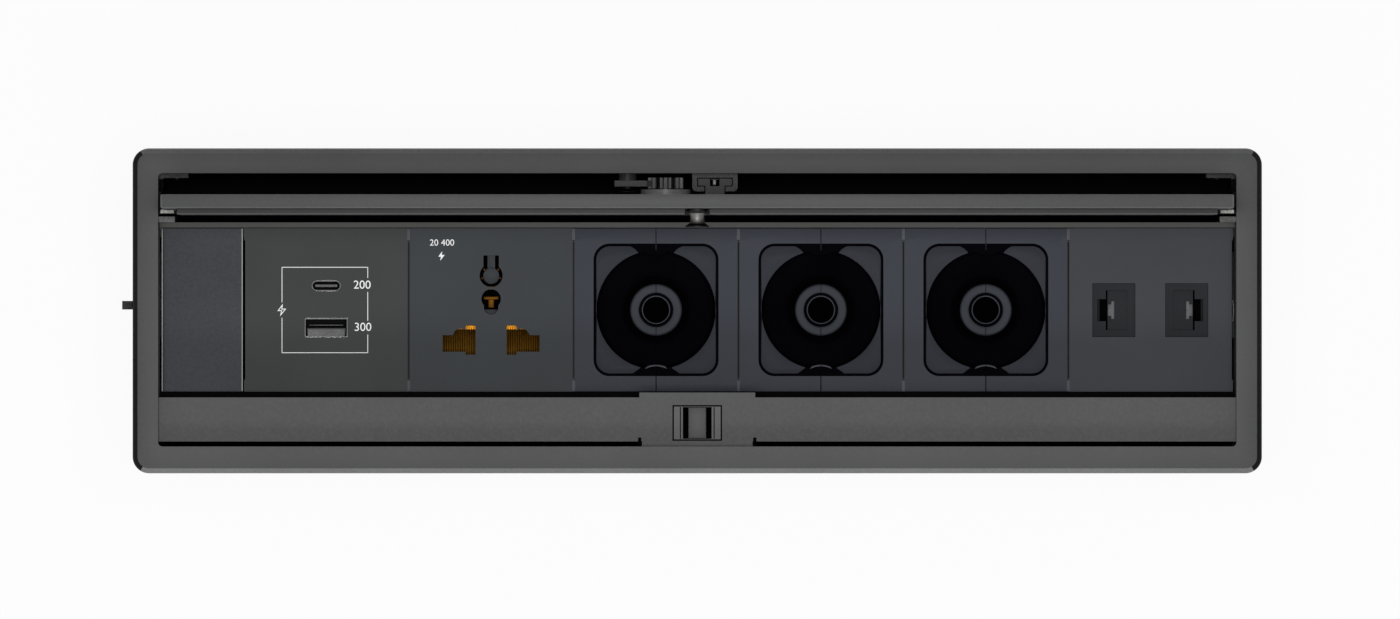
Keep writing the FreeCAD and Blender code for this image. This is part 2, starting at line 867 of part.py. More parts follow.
def make_latch_spring():
    """A coil between the plunger and the floor of the case, with its ends closed flat."""
    floor = float(front_top - s.latch_depth + s.latch_wall * 2)
    tall = float(front_top - s.plunger_drop - s.plunger_tall) - floor
    wire = float(s.spring_wire)
    radius = (float(s.spring_width) - wire) / 2
    turns = 4
    clearance = float(s.screw_play)
    rise = tall - wire - 2 * clearance
    helix = Part.makeHelix(rise / turns, rise, radius)
    section = Part.Wire(Part.makeCircle(wire / 2, FreeCAD.Vector(radius, 0, 0), FreeCAD.Vector(0, 1, 0)))
    coil = Part.Wire(helix).makePipeShell([section], True, True)
    spring = doc.addObject("Part::Feature", "latch_spring")
    spring.Label = "latch_spring"
    spring.Shape = coil
    spring.Placement = FreeCAD.Placement(
        FreeCAD.Vector(0, -float(s.latch_y), floor + clearance + wire / 2), FreeCAD.Rotation()
    )
    bodies["latch_spring"] = spring


# Lid, standing on edge at rest


def make_lid_panel():
    half = s.lid_length / 2
    top = lid_foot + s.lid_width
    body = new_body("lid_panel")
    block(body, "panel", (-half, lid_front, lid_foot), (half, lid_rear, top))

    def outer_edge(edge):
        on_rear = near(edge.BoundBox.YMin, lid_rear) and near(edge.BoundBox.YMax, lid_rear)
        return on_rear

    chamfer(body, "panel_edge", s.lid_edge, outer_edge)
    bore = s.hinge_pin + s.screw_play * 2
    depth = s.hinge_pin_long + s.run_gap
    hole = [("circle", (s.hinge_y, hinge_z), bore)]
    add_pocket(body, "left_bore", "YZ", hole, -half, depth - half)
    add_pocket(body, "right_bore", "YZ", hole, half - depth, half)


def make_lid_liner():
    half = s.liner_length / 2
    foot = hinge_z - s.liner_tail
    rear = lid_front
    body = new_body("lid_liner")
    block(body, "liner", (-half, rear - s.liner_thick, foot), (half, rear, foot + s.liner_width))

    def face_edge(edge):
        front = rear - s.liner_thick
        return near(edge.BoundBox.YMin, front) and near(edge.BoundBox.YMax, front)

    chamfer(body, "liner_edge", s.lid_edge, face_edge)


def make_striker():
    """The turned stud that the latch holds."""
    flare = (s.striker_head - s.striker_neck) / 4
    base = s.striker_base / 2
    neck = s.striker_neck / 2
    head = s.striker_head / 2
    tall = s.striker_tall
    body = new_body("striker")
    outline = [
        (0, 0),
        (base, 0),
        (base, tall / 6),
        (neck, tall / 3),
        (neck, tall * 2 / 3),
        (head, tall - flare / 2),
        (head, tall),
        (0, tall),
    ]
    turn_profile(body, "stud", outline)
    move_body(body, 0, lid_front - s.liner_thick, hinge_z + s.striker_reach, AXES["-Y"])


def make_hinge_leaf(side):
    """A strip on the lid's inner face that strengthens the pin's bore."""
    half = s.lid_length / 2
    low, high = across(side, half - s.leaf_long, half)
    rear = lid_front - s.leaf_gap
    front = rear - s.leaf_thick
    foot = lid_foot + s.leaf_gap
    body = new_body(f"hinge_leaf_{side}")
    block(body, "strip", (low, front, foot), (high, rear, foot + s.leaf_tall))
    middle = foot + s.leaf_tall / 2
    pad_foot = foot + s.leaf_gap
    block(body, "foot_pad", (low, rear, pad_foot), (high, lid_front, pad_foot + s.leaf_pad))
    block(body, "upper_pad", (low, rear, middle), (high, lid_front, middle + s.leaf_pad))


# Carriage that carries the lid up and down


def make_carriage():
    end = half_opening - s.arm_play
    inner = end - s.arm_sheet
    top = -s.beam_top
    foot = top - s.beam_tall
    web = lid_rear - s.beam_web
    body = new_body("carriage")
    section = [
        (s.beam_front, foot),
        (lid_rear, foot),
        (lid_rear, top),
        (s.beam_front, top),
        (s.beam_front, top - s.beam_web),
        (web, top - s.beam_web),
        (web, foot + s.beam_web),
        (s.beam_front, foot + s.beam_web),
    ]
    add_pad(body, "beam", "YZ", [("polygon", section)], -inner, inner)
    arm_top = s.bezel_thick - s.arm_play
    arm = [("rectangle", (s.beam_front, foot), (s.beam_front + s.arm_width, arm_top))]
    add_pad(body, "arm_left", "YZ", arm, -end, -inner)
    add_pad(body, "arm_right", "YZ", arm, inner, end)
    pin_hole = [("circle", (s.hinge_y, hinge_z), s.hinge_pin)]
    add_pocket(body, "pin_hole_left", "YZ", pin_hole, -end, -inner)
    add_pocket(body, "pin_hole_right", "YZ", pin_hole, inner, end)
    holes = [("circle", (x, z), screw_hole) for x, z in carriage_screw_places()]
    add_pocket(body, "screw_holes", "XZ", holes, web, lid_rear)


def carriage_screw_places():
    """Two screws hold the damper and two hold the guide runner."""
    half = s.damper_screw_pitch / 2
    middle = pinion_z
    rise = s.runner_screw_rise
    places = [(-s.pinion_x - half, middle), (-s.pinion_x + half, middle)]
    places += [(s.guide_x, middle - rise), (s.guide_x, middle + rise)]
    return places


def make_carriage_screws():
    screws = []
    seat = lid_rear - s.beam_web
    grip = s.beam_web + s.damper_thick / 2
    for x, z in carriage_screw_places():
        name = f"carriage_screw_{len(screws) + 1}"
        screws.append(small_screw(name, (x, seat, z), grip))
    group("carriage_screws", screws)


def make_hinge_pins():
    end = half_opening - s.arm_play
    length = s.arm_sheet + s.arm_play + s.hinge_pin_long
    pins = [
        rod("hinge_pin_left", (-end, s.hinge_y, hinge_z), "+X", s.hinge_pin, length),
        rod("hinge_pin_right", (end, s.hinge_y, hinge_z), "-X", s.hinge_pin, length),
    ]
    group("hinge_pins", pins)


def make_guide_runner():
    """The T-shaped slider in the guide's slot."""
    top = -s.beam_top
    foot = top - s.beam_tall
    stem = s.guide_mouth / 2 - s.run_gap
    head = s.guide_cavity / 2 - s.run_gap
    head_front = guide_front + s.guide_lip + s.run_gap
    head_rear = rear_wall - s.guide_back - s.run_gap
    x = s.guide_x
    body = new_body("guide_runner")
    tee = [
        (x - stem, lid_rear),
        (x + stem, lid_rear),
        (x + stem, head_front),
        (x + head, head_front),
        (x + head, head_rear),
        (x - head, head_rear),
        (x - head, head_front),
        (x - stem, head_front),
    ]
    add_pad(body, "tee", "XY", [("polygon", tee)], foot, top)
    half = s.runner_slot / 2
    slot = [("rectangle", (x - half, head_front), (x + half, head_rear - s.run_gap))]
    add_pocket(body, "slot", "XY", slot, top - s.beam_tall / 2, top)
    holes = [("circle", place, screw_hole) for place in carriage_screw_places()[2:]]
    add_pocket(body, "screw_holes", "XZ", holes, lid_rear, lid_rear + s.damper_thick / 2)


def make_damper_case():
    """The damper's round case with the post that its pinion runs on."""
    body = new_body("damper_case")
    disc = [("circle", (-s.pinion_x, pinion_z), s.damper_disc)]
    rear = lid_rear + s.damper_thick
    add_pad(body, "disc", "XZ", disc, lid_rear, rear)
    post = [("circle", (-s.pinion_x, pinion_z), s.damper_post)]
    add_pad(body, "post", "XZ", post, rear, pinion_start + s.pinion_wide)
    holes = [("circle", place, screw_hole) for place in carriage_screw_places()[:2]]
    add_pocket(body, "screw_holes", "XZ", holes, lid_rear, lid_rear + s.damper_thick / 2)


def tooth_half_width(radius, base_radius, pitch_half_angle):
    """Half the angle that an involute tooth takes at a radius."""
    def involute(r):
        tangent = math.sqrt(max(r * r - base_radius * base_radius, 0)) / base_radius
        return tangent - math.atan(tangent)

    return pitch_half_angle + involute(float(pitch_radius)) - involute(max(radius, base_radius))


PRESSURE_ANGLE = math.radians(20)
FLANK_STEPS = 3


def make_damper_pinion():
    """Involute teeth round a bore, with their play taken off each flank."""
    teeth = int(float(s.gear_teeth))
    pitch = float(pitch_radius)
    base_radius = pitch * math.cos(PRESSURE_ANGLE)
    tip = pitch + float(s.pinion_addendum)
    root = pitch - float(s.tooth_root)
    half_angle = math.pi / (2 * teeth) - float(s.backlash) / 2 / pitch
    start = max(root, base_radius)
    radii = [start + (tip - start) * i / FLANK_STEPS for i in range(FLANK_STEPS + 1)]
    outline = []
    for tooth in range(teeth):
        middle = 2 * math.pi * tooth / teeth
        rising = [(root, -tooth_half_width(start, base_radius, half_angle))]
        rising += [(radius, -tooth_half_width(radius, base_radius, half_angle)) for radius in radii]
        flank = rising + [(radius, -angle) for radius, angle in reversed(rising)]
        for radius, angle in flank:
            around = middle + angle
            outline.append(FreeCAD.Vector(radius * math.cos(around), radius * math.sin(around), 0))
    wide = float(s.pinion_wide)
    gear = Part.Face(Part.makePolygon(outline + outline[:1])).extrude(FreeCAD.Vector(0, 0, wide))
    bore = Part.makeCylinder(float(s.damper_post) / 2 + float(s.screw_play), wide)
    pinion = doc.addObject("Part::Feature", "damper_pinion")
    pinion.Label = "damper_pinion"
    pinion.Shape = gear.cut(bore).removeSplitter()
    # A tooth gap faces the rack's tooth at the carriage's height, so the teeth start half a pitch round.
    spin = FreeCAD.Rotation(FreeCAD.Vector(0, 0, 1), 180 / teeth)
    pinion.Placement = FreeCAD.Placement(
        FreeCAD.Vector(-float(s.pinion_x), float(pinion_start), float(pinion_z)), AXES["+Y"] * spin
    )
    bodies["damper_pinion"] = pinion


def make_rack():
    """A moulded rack on three bosses, toothed along its right edge."""
    top, foot = -s.track_top, -s.track_foot
    pitch_line = -s.pinion_x - pitch_radius
    root_x = pitch_line - s.tooth_root
    tip_x = pitch_line + s.rack_addendum
    front = rear_wall - s.rack_standoff - s.rack_thick
    rear = rear_wall - s.rack_standoff
    body = new_body("rack")
    block(body, "strip", (-s.rack_back_x, front, foot), (root_x, rear, top))
    bosses = [("circle", (-s.rack_boss_x, level), s.rack_boss) for level in rack_boss_levels()]
    add_pad(body, "bosses", "XZ", bosses, rear, rear_wall)
    step = s.gear_module * math.pi
    slope = math.tan(PRESSURE_ANGLE)
    half = step / 4 - s.backlash / 2
    wide = half + s.tooth_root * slope
    narrow = half - s.rack_addendum * slope
    # The topmost tooth lies a whole number of steps above the pinion's middle.
    above = int((float(top) - float(wide) - float(pinion_z)) / float(step))
    count = int((float(top) - float(wide) * 2 - float(foot)) / float(step)) + 1
    middle = pinion_z + step * above
    tooth = [
        (root_x, middle + wide),
        (root_x, middle - wide),
        (tip_x, middle - narrow),
        (tip_x, middle + narrow),
    ]
    pad = add_pad(body, "tooth", "XZ", [("polygon", tooth)], front, rear)
    doc.recompute()
    roles = {feature.Role: feature for feature in body.Origin.OriginFeatures}
    pattern = body.newObject("PartDesign::LinearPattern", "teeth")
    pattern.Originals = [pad]
    pattern.Direction = (roles["Z_Axis"], [""])
    pattern.Reversed = True
    pattern.Occurrences = count
    tie(pattern, "Length", step * (count - 1))
    body.Tip = pattern
    hole = s.rack_screw_shank + s.screw_play * 2
    holes = [("circle", (-s.rack_boss_x, level), hole) for level in rack_boss_levels()]
    add_pocket(body, "screw_holes", "XZ", holes, front, rear_wall)


def make_rack_screws():
    screws = []
    seat = rear_wall - s.rack_standoff - s.rack_thick
    grip = s.rack_standoff + s.rack_thick + s.wall
    head, tall, shank = s.rack_screw_head, s.rack_screw_head_tall, s.rack_screw_shank
    for level in rack_boss_levels():
        name = f"rack_screw_{len(screws) + 1}"
        place = (-s.rack_boss_x, seat, level)
        screws.append(pan_screw(name, place, "+Y", head, tall, shank, grip))
    group("rack_screws", screws)


def make_guide_channel():
    """The T-slot guide on the rear wall."""
    x = s.guide_x
    half = s.guide_width / 2
    cavity = s.guide_cavity / 2
    mouth = s.guide_mouth / 2
    back = rear_wall - s.guide_back
    lip = guide_front + s.guide_lip
    section = [
        (x - half, rear_wall),
        (x - half, guide_front),
        (x - mouth, guide_front),
        (x - mouth, lip),
        (x - cavity, lip),
        (x - cavity, back),
        (x + cavity, back),
        (x + cavity, lip),
        (x + mouth, lip),
        (x + mouth, guide_front),
        (x + half, guide_front),
        (x + half, rear_wall),
    ]
    body = new_body("guide_channel")
    add_pad(body, "channel", "XY", [("polygon", section)], -s.track_foot, -s.track_top)

    def outer_lip(edge):
        middle = edge.CenterOfMass
        at_front = near(middle.y, guide_front)
        return runs_along(edge, "z") and at_front and near(abs(middle.x - float(x)), half)

    fillet(body, "outer_lips", s.guide_round, outer_lip)


# Face plates of the module row


def module_edges(index, units=2):
    """Left and right X of a module: its slot in the row, counted in half pitches."""
    low = row_left + s.module_pitch * index / 2
    return low + s.plate_play, low + s.module_pitch * units / 2 - s.plate_play


def plate_outline(low, high, relief_low=True, relief_high=True):
    """A plate whose long sides step back between their ends, for the joint with its neighbour."""
    front = row_front
    rear = s.row_rear
    start = front + s.relief_end
    stop = rear - s.relief_end
    points = [(low, front), (high, front)]
    if relief_high:
        inset = high - s.plate_relief
        points += [(high, start), (inset, start), (inset, stop), (high, stop)]
    points += [(high, rear), (low, rear)]
    if relief_low:
        inset = low + s.plate_relief
        points += [(low, stop), (inset, stop), (inset, start), (low, start)]
    return points


def make_plate(name, low, high, relief_low=True, relief_high=True):
    """A face plate on two skirts that stand on the rails' ledges."""
    body = new_body(name)
    outline = plate_outline(low, high, relief_low, relief_high)
    add_pad(body, "face", "XY", [("polygon", outline)], face_foot, face_top)
    inner_low, inner_high = low + s.skirt_thick, high - s.skirt_thick
    if not relief_low:
        inner_low = low
    if not relief_high:
        inner_high = high
    skirts = [
        ("rectangle", (inner_low, row_front), (inner_high, row_front + s.skirt_thick)),
        ("rectangle", (inner_low, s.row_rear - s.skirt_thick), (inner_high, s.row_rear)),
    ]
    add_pad(body, "skirts", "XY", skirts, skirt_foot, face_foot)
    return body


def middle_of(index, units=2):
    return row_left + s.module_pitch * (index + units / 2) / 2


def make_blank_module():
    low, high = module_edges(0, 1)
    make_plate("blank_plate", low, high)


def obround(centre_x, centre_y, length, width):
    """The straight middle and two round ends of a slot along X, as three shapes in turn."""
    run = length / 2 - width / 2
    low, high = (centre_x - run, centre_y - width / 2), (centre_x + run, centre_y + width / 2)
    straight = ("rectangle", low, high)
    left = ("circle", (centre_x - run, centre_y), width)
    right = ("circle", (centre_x + run, centre_y), width)
    return [straight, left, right]


def cut_each(body, name, shapes, low, high):
    """One pocket after another, for shapes that overlap each other."""
    for number, shape in enumerate(shapes, start=1):
        add_pocket(body, f"{name}_{number}", "XY", [shape], low, high)


USB_INDEX = 1


def make_usb_module():
    x = middle_of(USB_INDEX)
    body = make_plate("usb_plate", *module_edges(USB_INDEX))
    play = s.port_play * 2
    usb_c = obround(x, s.usb_c_y, s.usb_c_length + play, s.usb_c_width + play)
    cut_each(body, "usb_c_opening", usb_c, face_foot, face_top)
    half_long, half_wide = s.usb_a_length / 2 + s.port_play, s.usb_a_width / 2 + s.port_play
    low, high = (x - half_long, s.usb_a_y - half_wide), (x + half_long, s.usb_a_y + half_wide)
    opening = [("rectangle", low, high)]
    add_pocket(body, "usb_a_opening", "XY", opening, face_foot, face_top)
    board_top = face_top - s.usb_board_drop
    make_usb_c_port(x, board_top)
    make_usb_a_port(x, board_top)
    board = new_body("usb_board")
    half = s.usb_board_long / 2
    side = s.case_long / 2 - s.case_wall - s.port_play
    low = (x - half, row_middle - side, board_top - s.usb_board_thick)
    block(board, "board", low, (x + half, row_middle + side, board_top))
    case = new_body("usb_case")
    across, along = s.case_wide / 2, s.case_long / 2
    foot = face_foot - s.usb_case_depth
    high = (x + across, row_middle + along, face_foot)
    block(case, "case", (x - across, row_middle - along, foot), high)
    across, along = across - s.case_wall, along - s.case_wall
    hollow = [("rectangle", (x - across, row_middle - along), (x + across, row_middle + along))]
    add_pocket(case, "hollow", "XY", hollow, board_top - s.usb_board_thick, face_foot)
    across, along = across - s.case_wall * 2, along - s.case_wall * 2
    lower = [("rectangle", (x - across, row_middle - along), (x + across, row_middle + along))]
    add_pocket(case, "component_space", "XY", lower, foot + s.case_wall, board_top - s.usb_board_thick)


def make_usb_c_port(x, board_top):
    top = face_top - s.port_sink
    body = new_body("usb_c_port")
    outer = obround(x, s.usb_c_y, s.usb_c_length, s.usb_c_width)
    for number, shape in enumerate(outer, start=1):
        add_pad(body, f"shell_{number}", "XY", [shape], board_top, top)
    wall = s.port_wall * 2
    inner = obround(x, s.usb_c_y, s.usb_c_length - wall, s.usb_c_width - wall)
    cut_each(body, "mouth", inner, board_top + s.usb_c_width, top)
    half_long, half_wide = s.usb_c_tongue_long / 2, s.usb_c_tongue / 2
    low = (x - half_long, s.usb_c_y - half_wide, board_top + s.usb_c_width)
    block(body, "tongue", low, (x + half_long, s.usb_c_y + half_wide, top - s.port_sink * 2))


def make_usb_a_port(x, board_top):
    top = face_top - s.port_sink
    half_long, half_wide = s.usb_a_length / 2, s.usb_a_width / 2
    body = new_body("usb_a_port")
    high = (x + half_long, s.usb_a_y + half_wide, top)
    block(body, "shell", (x - half_long, s.usb_a_y - half_wide, board_top), high)
    inner_long, inner_wide = half_long - s.port_wall, half_wide - s.port_wall
    low, high = (x - inner_long, s.usb_a_y - inner_wide), (x + inner_long, s.usb_a_y + inner_wide)
    mouth = [("rectangle", low, high)]
    floor = board_top + s.usb_c_width / 2
    add_pocket(body, "mouth", "XY", mouth, floor, top)
    tongue = s.usb_a_tongue_long / 2
    front = s.usb_a_y - inner_wide
    low = (x - tongue, front, floor)
    block(body, "tongue", low, (x + tongue, front + s.usb_a_tongue, top - s.port_sink * 2))


def live_shapes(x, sign, grow=0):
    """The three shapes of one current-carrying hole: a blade slot, a pin slot and a round lobe."""
    def pair(inner, outer, top, foot):
        left, right = sorted((x + sign * (inner - grow), x + sign * (outer + grow)), key=float)
        return ("rectangle", (left, foot - grow), (right, top + grow))

    blade = pair(s.blade_in, s.blade_out, s.blade_top, s.blade_foot)
    slot = pair(s.pin_in, s.pin_out, s.pin_top, s.pin_foot)
    lobe = ("circle", (x + sign * s.lobe_x, s.lobe_y), s.lobe_round + grow * 2)
    return [blade, slot, lobe]


def make_socket_module():
    x = middle_of(SOCKET_INDEX)
    body = make_plate("socket_plate", *module_edges(SOCKET_INDEX))
    slot_half = s.earth_slot / 2
    earth = [
        ("circle", (x, s.earth_y), s.earth_round),
        ("rectangle", (x - slot_half, s.earth_y), (x + slot_half, s.earth_top)),
        ("circle", (x, s.link_y), s.link_round),
        ("circle", (x, s.link_foot_y), s.link_foot_round),
    ]
    cut_each(body, "earth_hole", earth, face_foot, face_top)
    cut_each(body, "left_hole", live_shapes(x, -1), face_foot, face_top)
    cut_each(body, "right_hole", live_shapes(x, 1), face_foot, face_top)
    make_socket_body(x)
    make_line_contact("contact_live", x, 1)
    make_line_contact("contact_neutral", x, -1)
    make_earth_contact(x)


def chamber(x, sign):
    """Corners in plan of the chamber behind one current-carrying hole."""
    play = s.chamber_play
    low, high = sorted((x + sign * (s.blade_in - play), x + sign * (s.pin_out + play)), key=float)
    return (low, s.blade_foot - play), (high, s.blade_top + play)


def earth_chamber(x):
    half = s.earth_round / 2 + s.chamber_play
    foot = s.link_foot_y - s.link_foot_round / 2 - s.chamber_play
    return (x - half, foot), (x + half, s.earth_top + s.chamber_play)


def make_socket_body(x):
    across, along = s.case_wide / 2, s.case_long / 2
    foot = face_foot - s.socket_depth
    floor = face_foot - s.chamber_depth
    body = new_body("socket_body")
    high = (x + across, row_middle + along, face_foot)
    block(body, "moulding", (x - across, row_middle - along, foot), high)
    rooms = (chamber(x, -1), chamber(x, 1), earth_chamber(x))
    chambers = [("rectangle", *room) for room in rooms]
    add_pocket(body, "chambers", "XY", chambers, floor, face_foot)
    tabs = []
    for tab_x, tab_y in terminal_places(x):
        half_tab = s.terminal_width / 2 + s.port_play
        half_sheet = s.contact_sheet / 2 + s.port_play
        low, high = (tab_x - half_tab, tab_y - half_sheet), (tab_x + half_tab, tab_y + half_sheet)
        tabs.append(("rectangle", low, high))
    add_pocket(body, "terminal_slots", "XY", tabs, foot, floor)


def terminal_places(x):
    """Where the terminals of neutral, live and earth pass the floor of the socket body."""
    middle_y = (s.pin_top + s.pin_foot) / 2
    middle_x = (s.pin_in + s.pin_out) / 2
    return [(x - middle_x, middle_y), (x + middle_x, middle_y), (x, s.earth_y)]


def add_leaves_and_tab(body, low, high, leaf_foot, leaf_top, leaf_inset, tab):
    """Two spring leaves along X between two Y levels, and a terminal through the floor."""
    sheet_thick = s.contact_sheet
    rear_leaf = high[1] - leaf_inset - sheet_thick
    for name, level in (("front_leaf", low[1] + leaf_inset), ("rear_leaf", rear_leaf)):
        block(body, name, (low[0], level, leaf_foot), (high[0], level + sheet_thick, leaf_top))
    half_tab = s.terminal_width / 2
    half_sheet = sheet_thick / 2
    tab_low = (tab[0] - half_tab, tab[1] - half_sheet, face_foot - s.socket_depth - s.terminal_long)
    block(body, "terminal", tab_low, (tab[0] + half_tab, tab[1] + half_sheet, leaf_foot))


def make_line_contact(name, x, sign):
    """A brass clip: a base with two leaves that grip the pin."""
    floor = face_foot - s.chamber_depth
    base_top = floor + s.contact_sheet
    low, high = chamber(x, sign)
    low = (low[0] + s.port_wall, low[1] + s.port_wall)
    high = (high[0] - s.port_wall, high[1] - s.port_wall)
    body = new_body(name)
    block(body, "base", (low[0], low[1], floor), (high[0], high[1], base_top))
    leaf_low = (low[0], s.pin_foot - s.contact_sheet)
    leaf_high = (high[0], s.pin_top + s.contact_sheet)
    tab = terminal_places(x)[0 if sign < 0 else 1]
    add_leaves_and_tab(body, leaf_low, leaf_high, base_top, base_top + s.contact_leaf, 0, tab)


def make_earth_contact(x):
    floor = face_foot - s.chamber_depth
    base_top = floor + s.contact_sheet
    low, high = earth_chamber(x)
    low = (low[0] + s.port_wall, low[1] + s.port_wall)
    high = (high[0] - s.port_wall, high[1] - s.port_wall)
    body = new_body("contact_earth")
    block(body, "base", (low[0], low[1], floor), (high[0], high[1], base_top))
    for name, left in (("left_leaf", low[0]), ("right_leaf", high[0] - s.contact_sheet)):
        leaf_high = (left + s.contact_sheet, high[1], base_top + s.contact_leaf)
        block(body, name, (left, low[1], base_top), leaf_high)
    tab = terminal_places(x)[2]
    half_tab = s.terminal_width / 2
    half_sheet = s.contact_sheet / 2
    tab_low = (tab[0] - half_tab, tab[1] - half_sheet, face_foot - s.socket_depth - s.terminal_long)
    block(body, "terminal", tab_low, (tab[0] + half_tab, tab[1] + half_sheet, floor))


# Cable ports, each split into two halves along its middle


def make_cable_half(number, index, side):
    """Half of a face plate with half of a funnel and its centre ring."""
    x = middle_of(index)
    left, right = module_edges(index)
    body = new_body(f"cable_port_{number}_{side}")
    if side == "left":
        low, high, relief = left, x, (True, False)
    else:
        low, high, relief = x, right, (False, True)
    outline = plate_outline(low - x, high - x, *relief)
    outline = [(u, v - s.port_y) for u, v in outline]
    add_pad(body, "face", "XY", [("polygon", outline)], face_foot, face_top)
    skirt_low, skirt_high = low - x + s.skirt_thick, high - x - s.skirt_thick
    front, rear = row_front - s.port_y, s.row_rear - s.port_y
    skirts = [
        ("rectangle", (skirt_low, front), (skirt_high, front + s.skirt_thick)),
        ("rectangle", (skirt_low, rear - s.skirt_thick), (skirt_high, rear)),
    ]
    add_pad(body, "skirts", "XY", skirts, skirt_foot, face_foot)
    half_x, half_y = s.port_x_size / 2, s.port_y_size / 2
    sign = -1 if side == "left" else 1
    corner = s.port_corner * (1 - math.sqrt(0.5))
    groove = s.groove_width
    groove_floor = face_top - s.groove_deep
    recess = [("polygon", cushion(sign, half_x, half_y, corner))]
    add_pocket(body, "groove", "XY", recess, groove_floor, face_top)
    inner = [("polygon", cushion(sign, half_x - groove, half_y - groove, corner))]
    add_pad(body, "plateau", "XY", inner, groove_floor, face_top - s.port_recess)
    scallop = s.scallop_wide / 2
    across_x = sorted((0 * scallop, sign * scallop), key=float)
    edge_y = half_y - groove
    notches = [
        ("rectangle", (across_x[0], edge_y - s.scallop_deep), (across_x[1], edge_y)),
        ("rectangle", (across_x[0], -edge_y), (across_x[1], s.scallop_deep - edge_y)),
    ]
    add_pocket(body, "scallops", "XY", notches, face_top - s.groove_deep * 2, face_top - s.port_recess)
    radius = s.funnel_round / 2
    outer = radius + s.funnel_wall
    hub = s.hub_round / 2
    hub_top = face_top - s.hub_drop
    bottom = face_top - s.funnel_deep
    funnel_top = face_top - s.port_recess
    hole = [(0, face_foot), (radius, face_foot), (radius, funnel_top), (0, funnel_top)]
    tail = bottom - s.funnel_wall - s.hub_tail
    # The wall of the well, its floor and the centre ring, as one turned section.
    well = [
        (s.hub_hole / 2, tail),
        (hub, tail),
        (hub, bottom - s.funnel_wall),
        (outer, bottom - s.funnel_wall),
        (outer, face_foot),
        (radius, face_foot),
        (radius, bottom),
        (hub + s.hub_fillet, bottom),
        (hub + s.hub_fillet * 0.3, hub_top - s.hub_fillet),
        (hub, hub_top - s.hub_fillet * 0.3),
        (hub - s.hub_fillet * 0.3, hub_top),
        (s.hub_inner / 2, hub_top),
        (s.hub_hole / 2 + s.port_wall, hub_top - s.hub_step),
        (s.hub_hole / 2, hub_top - s.hub_step * 2),
    ]
    turn_half(body, "clearing", hole, sign, cut=True)
    turn_half(body, "well", well, sign, cut=False)
    move_body(body, x, s.port_y, 0)


def cushion(sign, half_x, half_y, corner):
    """Half of a square with softened corners, on one side of its middle."""
    deep = corner * 3.4
    points = [
        (0, -half_y),
        (sign * (half_x - deep), -half_y),
        (sign * (half_x - corner), corner - half_y),
        (sign * half_x, deep - half_y),
        (sign * half_x, half_y - deep),
        (sign * (half_x - corner), half_y - corner),
        (sign * (half_x - deep), half_y),
        (0, half_y),
    ]
    return points if sign > 0 else points[::-1]


def turn_half(body, name, points, sign, cut):
    """Turns an outline through half a turn, on the left or right of the middle plane."""
    doc.recompute()
    sketch = new_sketch(body, name + "_sketch", "YZ", 0)
    draw(sketch, [("polygon", points)])
    kind = "PartDesign::Groove" if cut else "PartDesign::Revolution"
    feature = body.newObject(kind, name)
    feature.Profile = sketch
    feature.ReferenceAxis = (sketch, ["V_Axis"])
    feature.Angle = 180.0
    feature.Reversed = sign > 0
    doc.recompute()
    return feature


# Data module with two jacks


def jack_middle(side):
    left = middle_of(DATA_INDEX) - s.jack_left_in
    return left if side == "left" else left + s.jack_pitch


def make_data_module():
    body = make_plate("data_plate", *module_edges(DATA_INDEX))
    openings = []
    for side in ("left", "right"):
        x = jack_middle(side)
        half_wide, half_tall = s.jack_wide / 2, s.jack_tall / 2
        low, high = (x - half_wide, s.jack_y - half_tall), (x + half_wide, s.jack_y + half_tall)
        openings.append(("rectangle", low, high))
    add_pocket(body, "jack_openings", "XY", openings, face_foot, face_top)
    for side in ("left", "right"):
        make_data_jack(side)
    make_jack_contacts()


def plug_edges(side):
    """Inner and outer X of the plug's opening, and the outer X of its latch notch."""
    sign = -1 if side == "left" else 1
    middle = jack_middle(side) - sign * s.plug_shift
    inner = middle - sign * s.plug_wide / 2
    outer = middle + sign * s.plug_wide / 2
    return inner, outer, outer + sign * s.notch_wide


def make_data_jack(side):
    x = jack_middle(side)
    top = face_top - s.jack_sink
    half_wide = s.jack_wide / 2 - s.jack_play
    half_tall = s.jack_tall / 2 - s.jack_play
    foot = top - s.jack_deep
    body = new_body(f"data_jack_{side}")
    high = (x + half_wide, s.jack_y + half_tall, top)
    block(body, "jack", (x - half_wide, s.jack_y - half_tall, foot), high)
    lip = s.jack_play + s.skirt_thick
    low = (x - half_wide - lip, s.jack_y - half_tall - lip, face_foot - s.skirt_thick)
    block(body, "collar", low, (x + half_wide + lip, s.jack_y + half_tall + lip, face_foot))
    inner, outer, notch = plug_edges(side)
    half_plug, half_notch = s.plug_tall / 2, s.notch_tall / 2
    left, right = sorted((inner, outer), key=float)
    mouth = [("rectangle", (left, s.jack_y - half_plug), (right, s.jack_y + half_plug))]
    add_pocket(body, "mouth", "XY", mouth, top - s.plug_deep, top)
    left, right = sorted((outer, notch), key=float)
    slot = [("rectangle", (left, s.jack_y - half_notch), (right, s.jack_y + half_notch))]
    add_pocket(body, "latch_notch", "XY", slot, top - s.plug_deep, top)


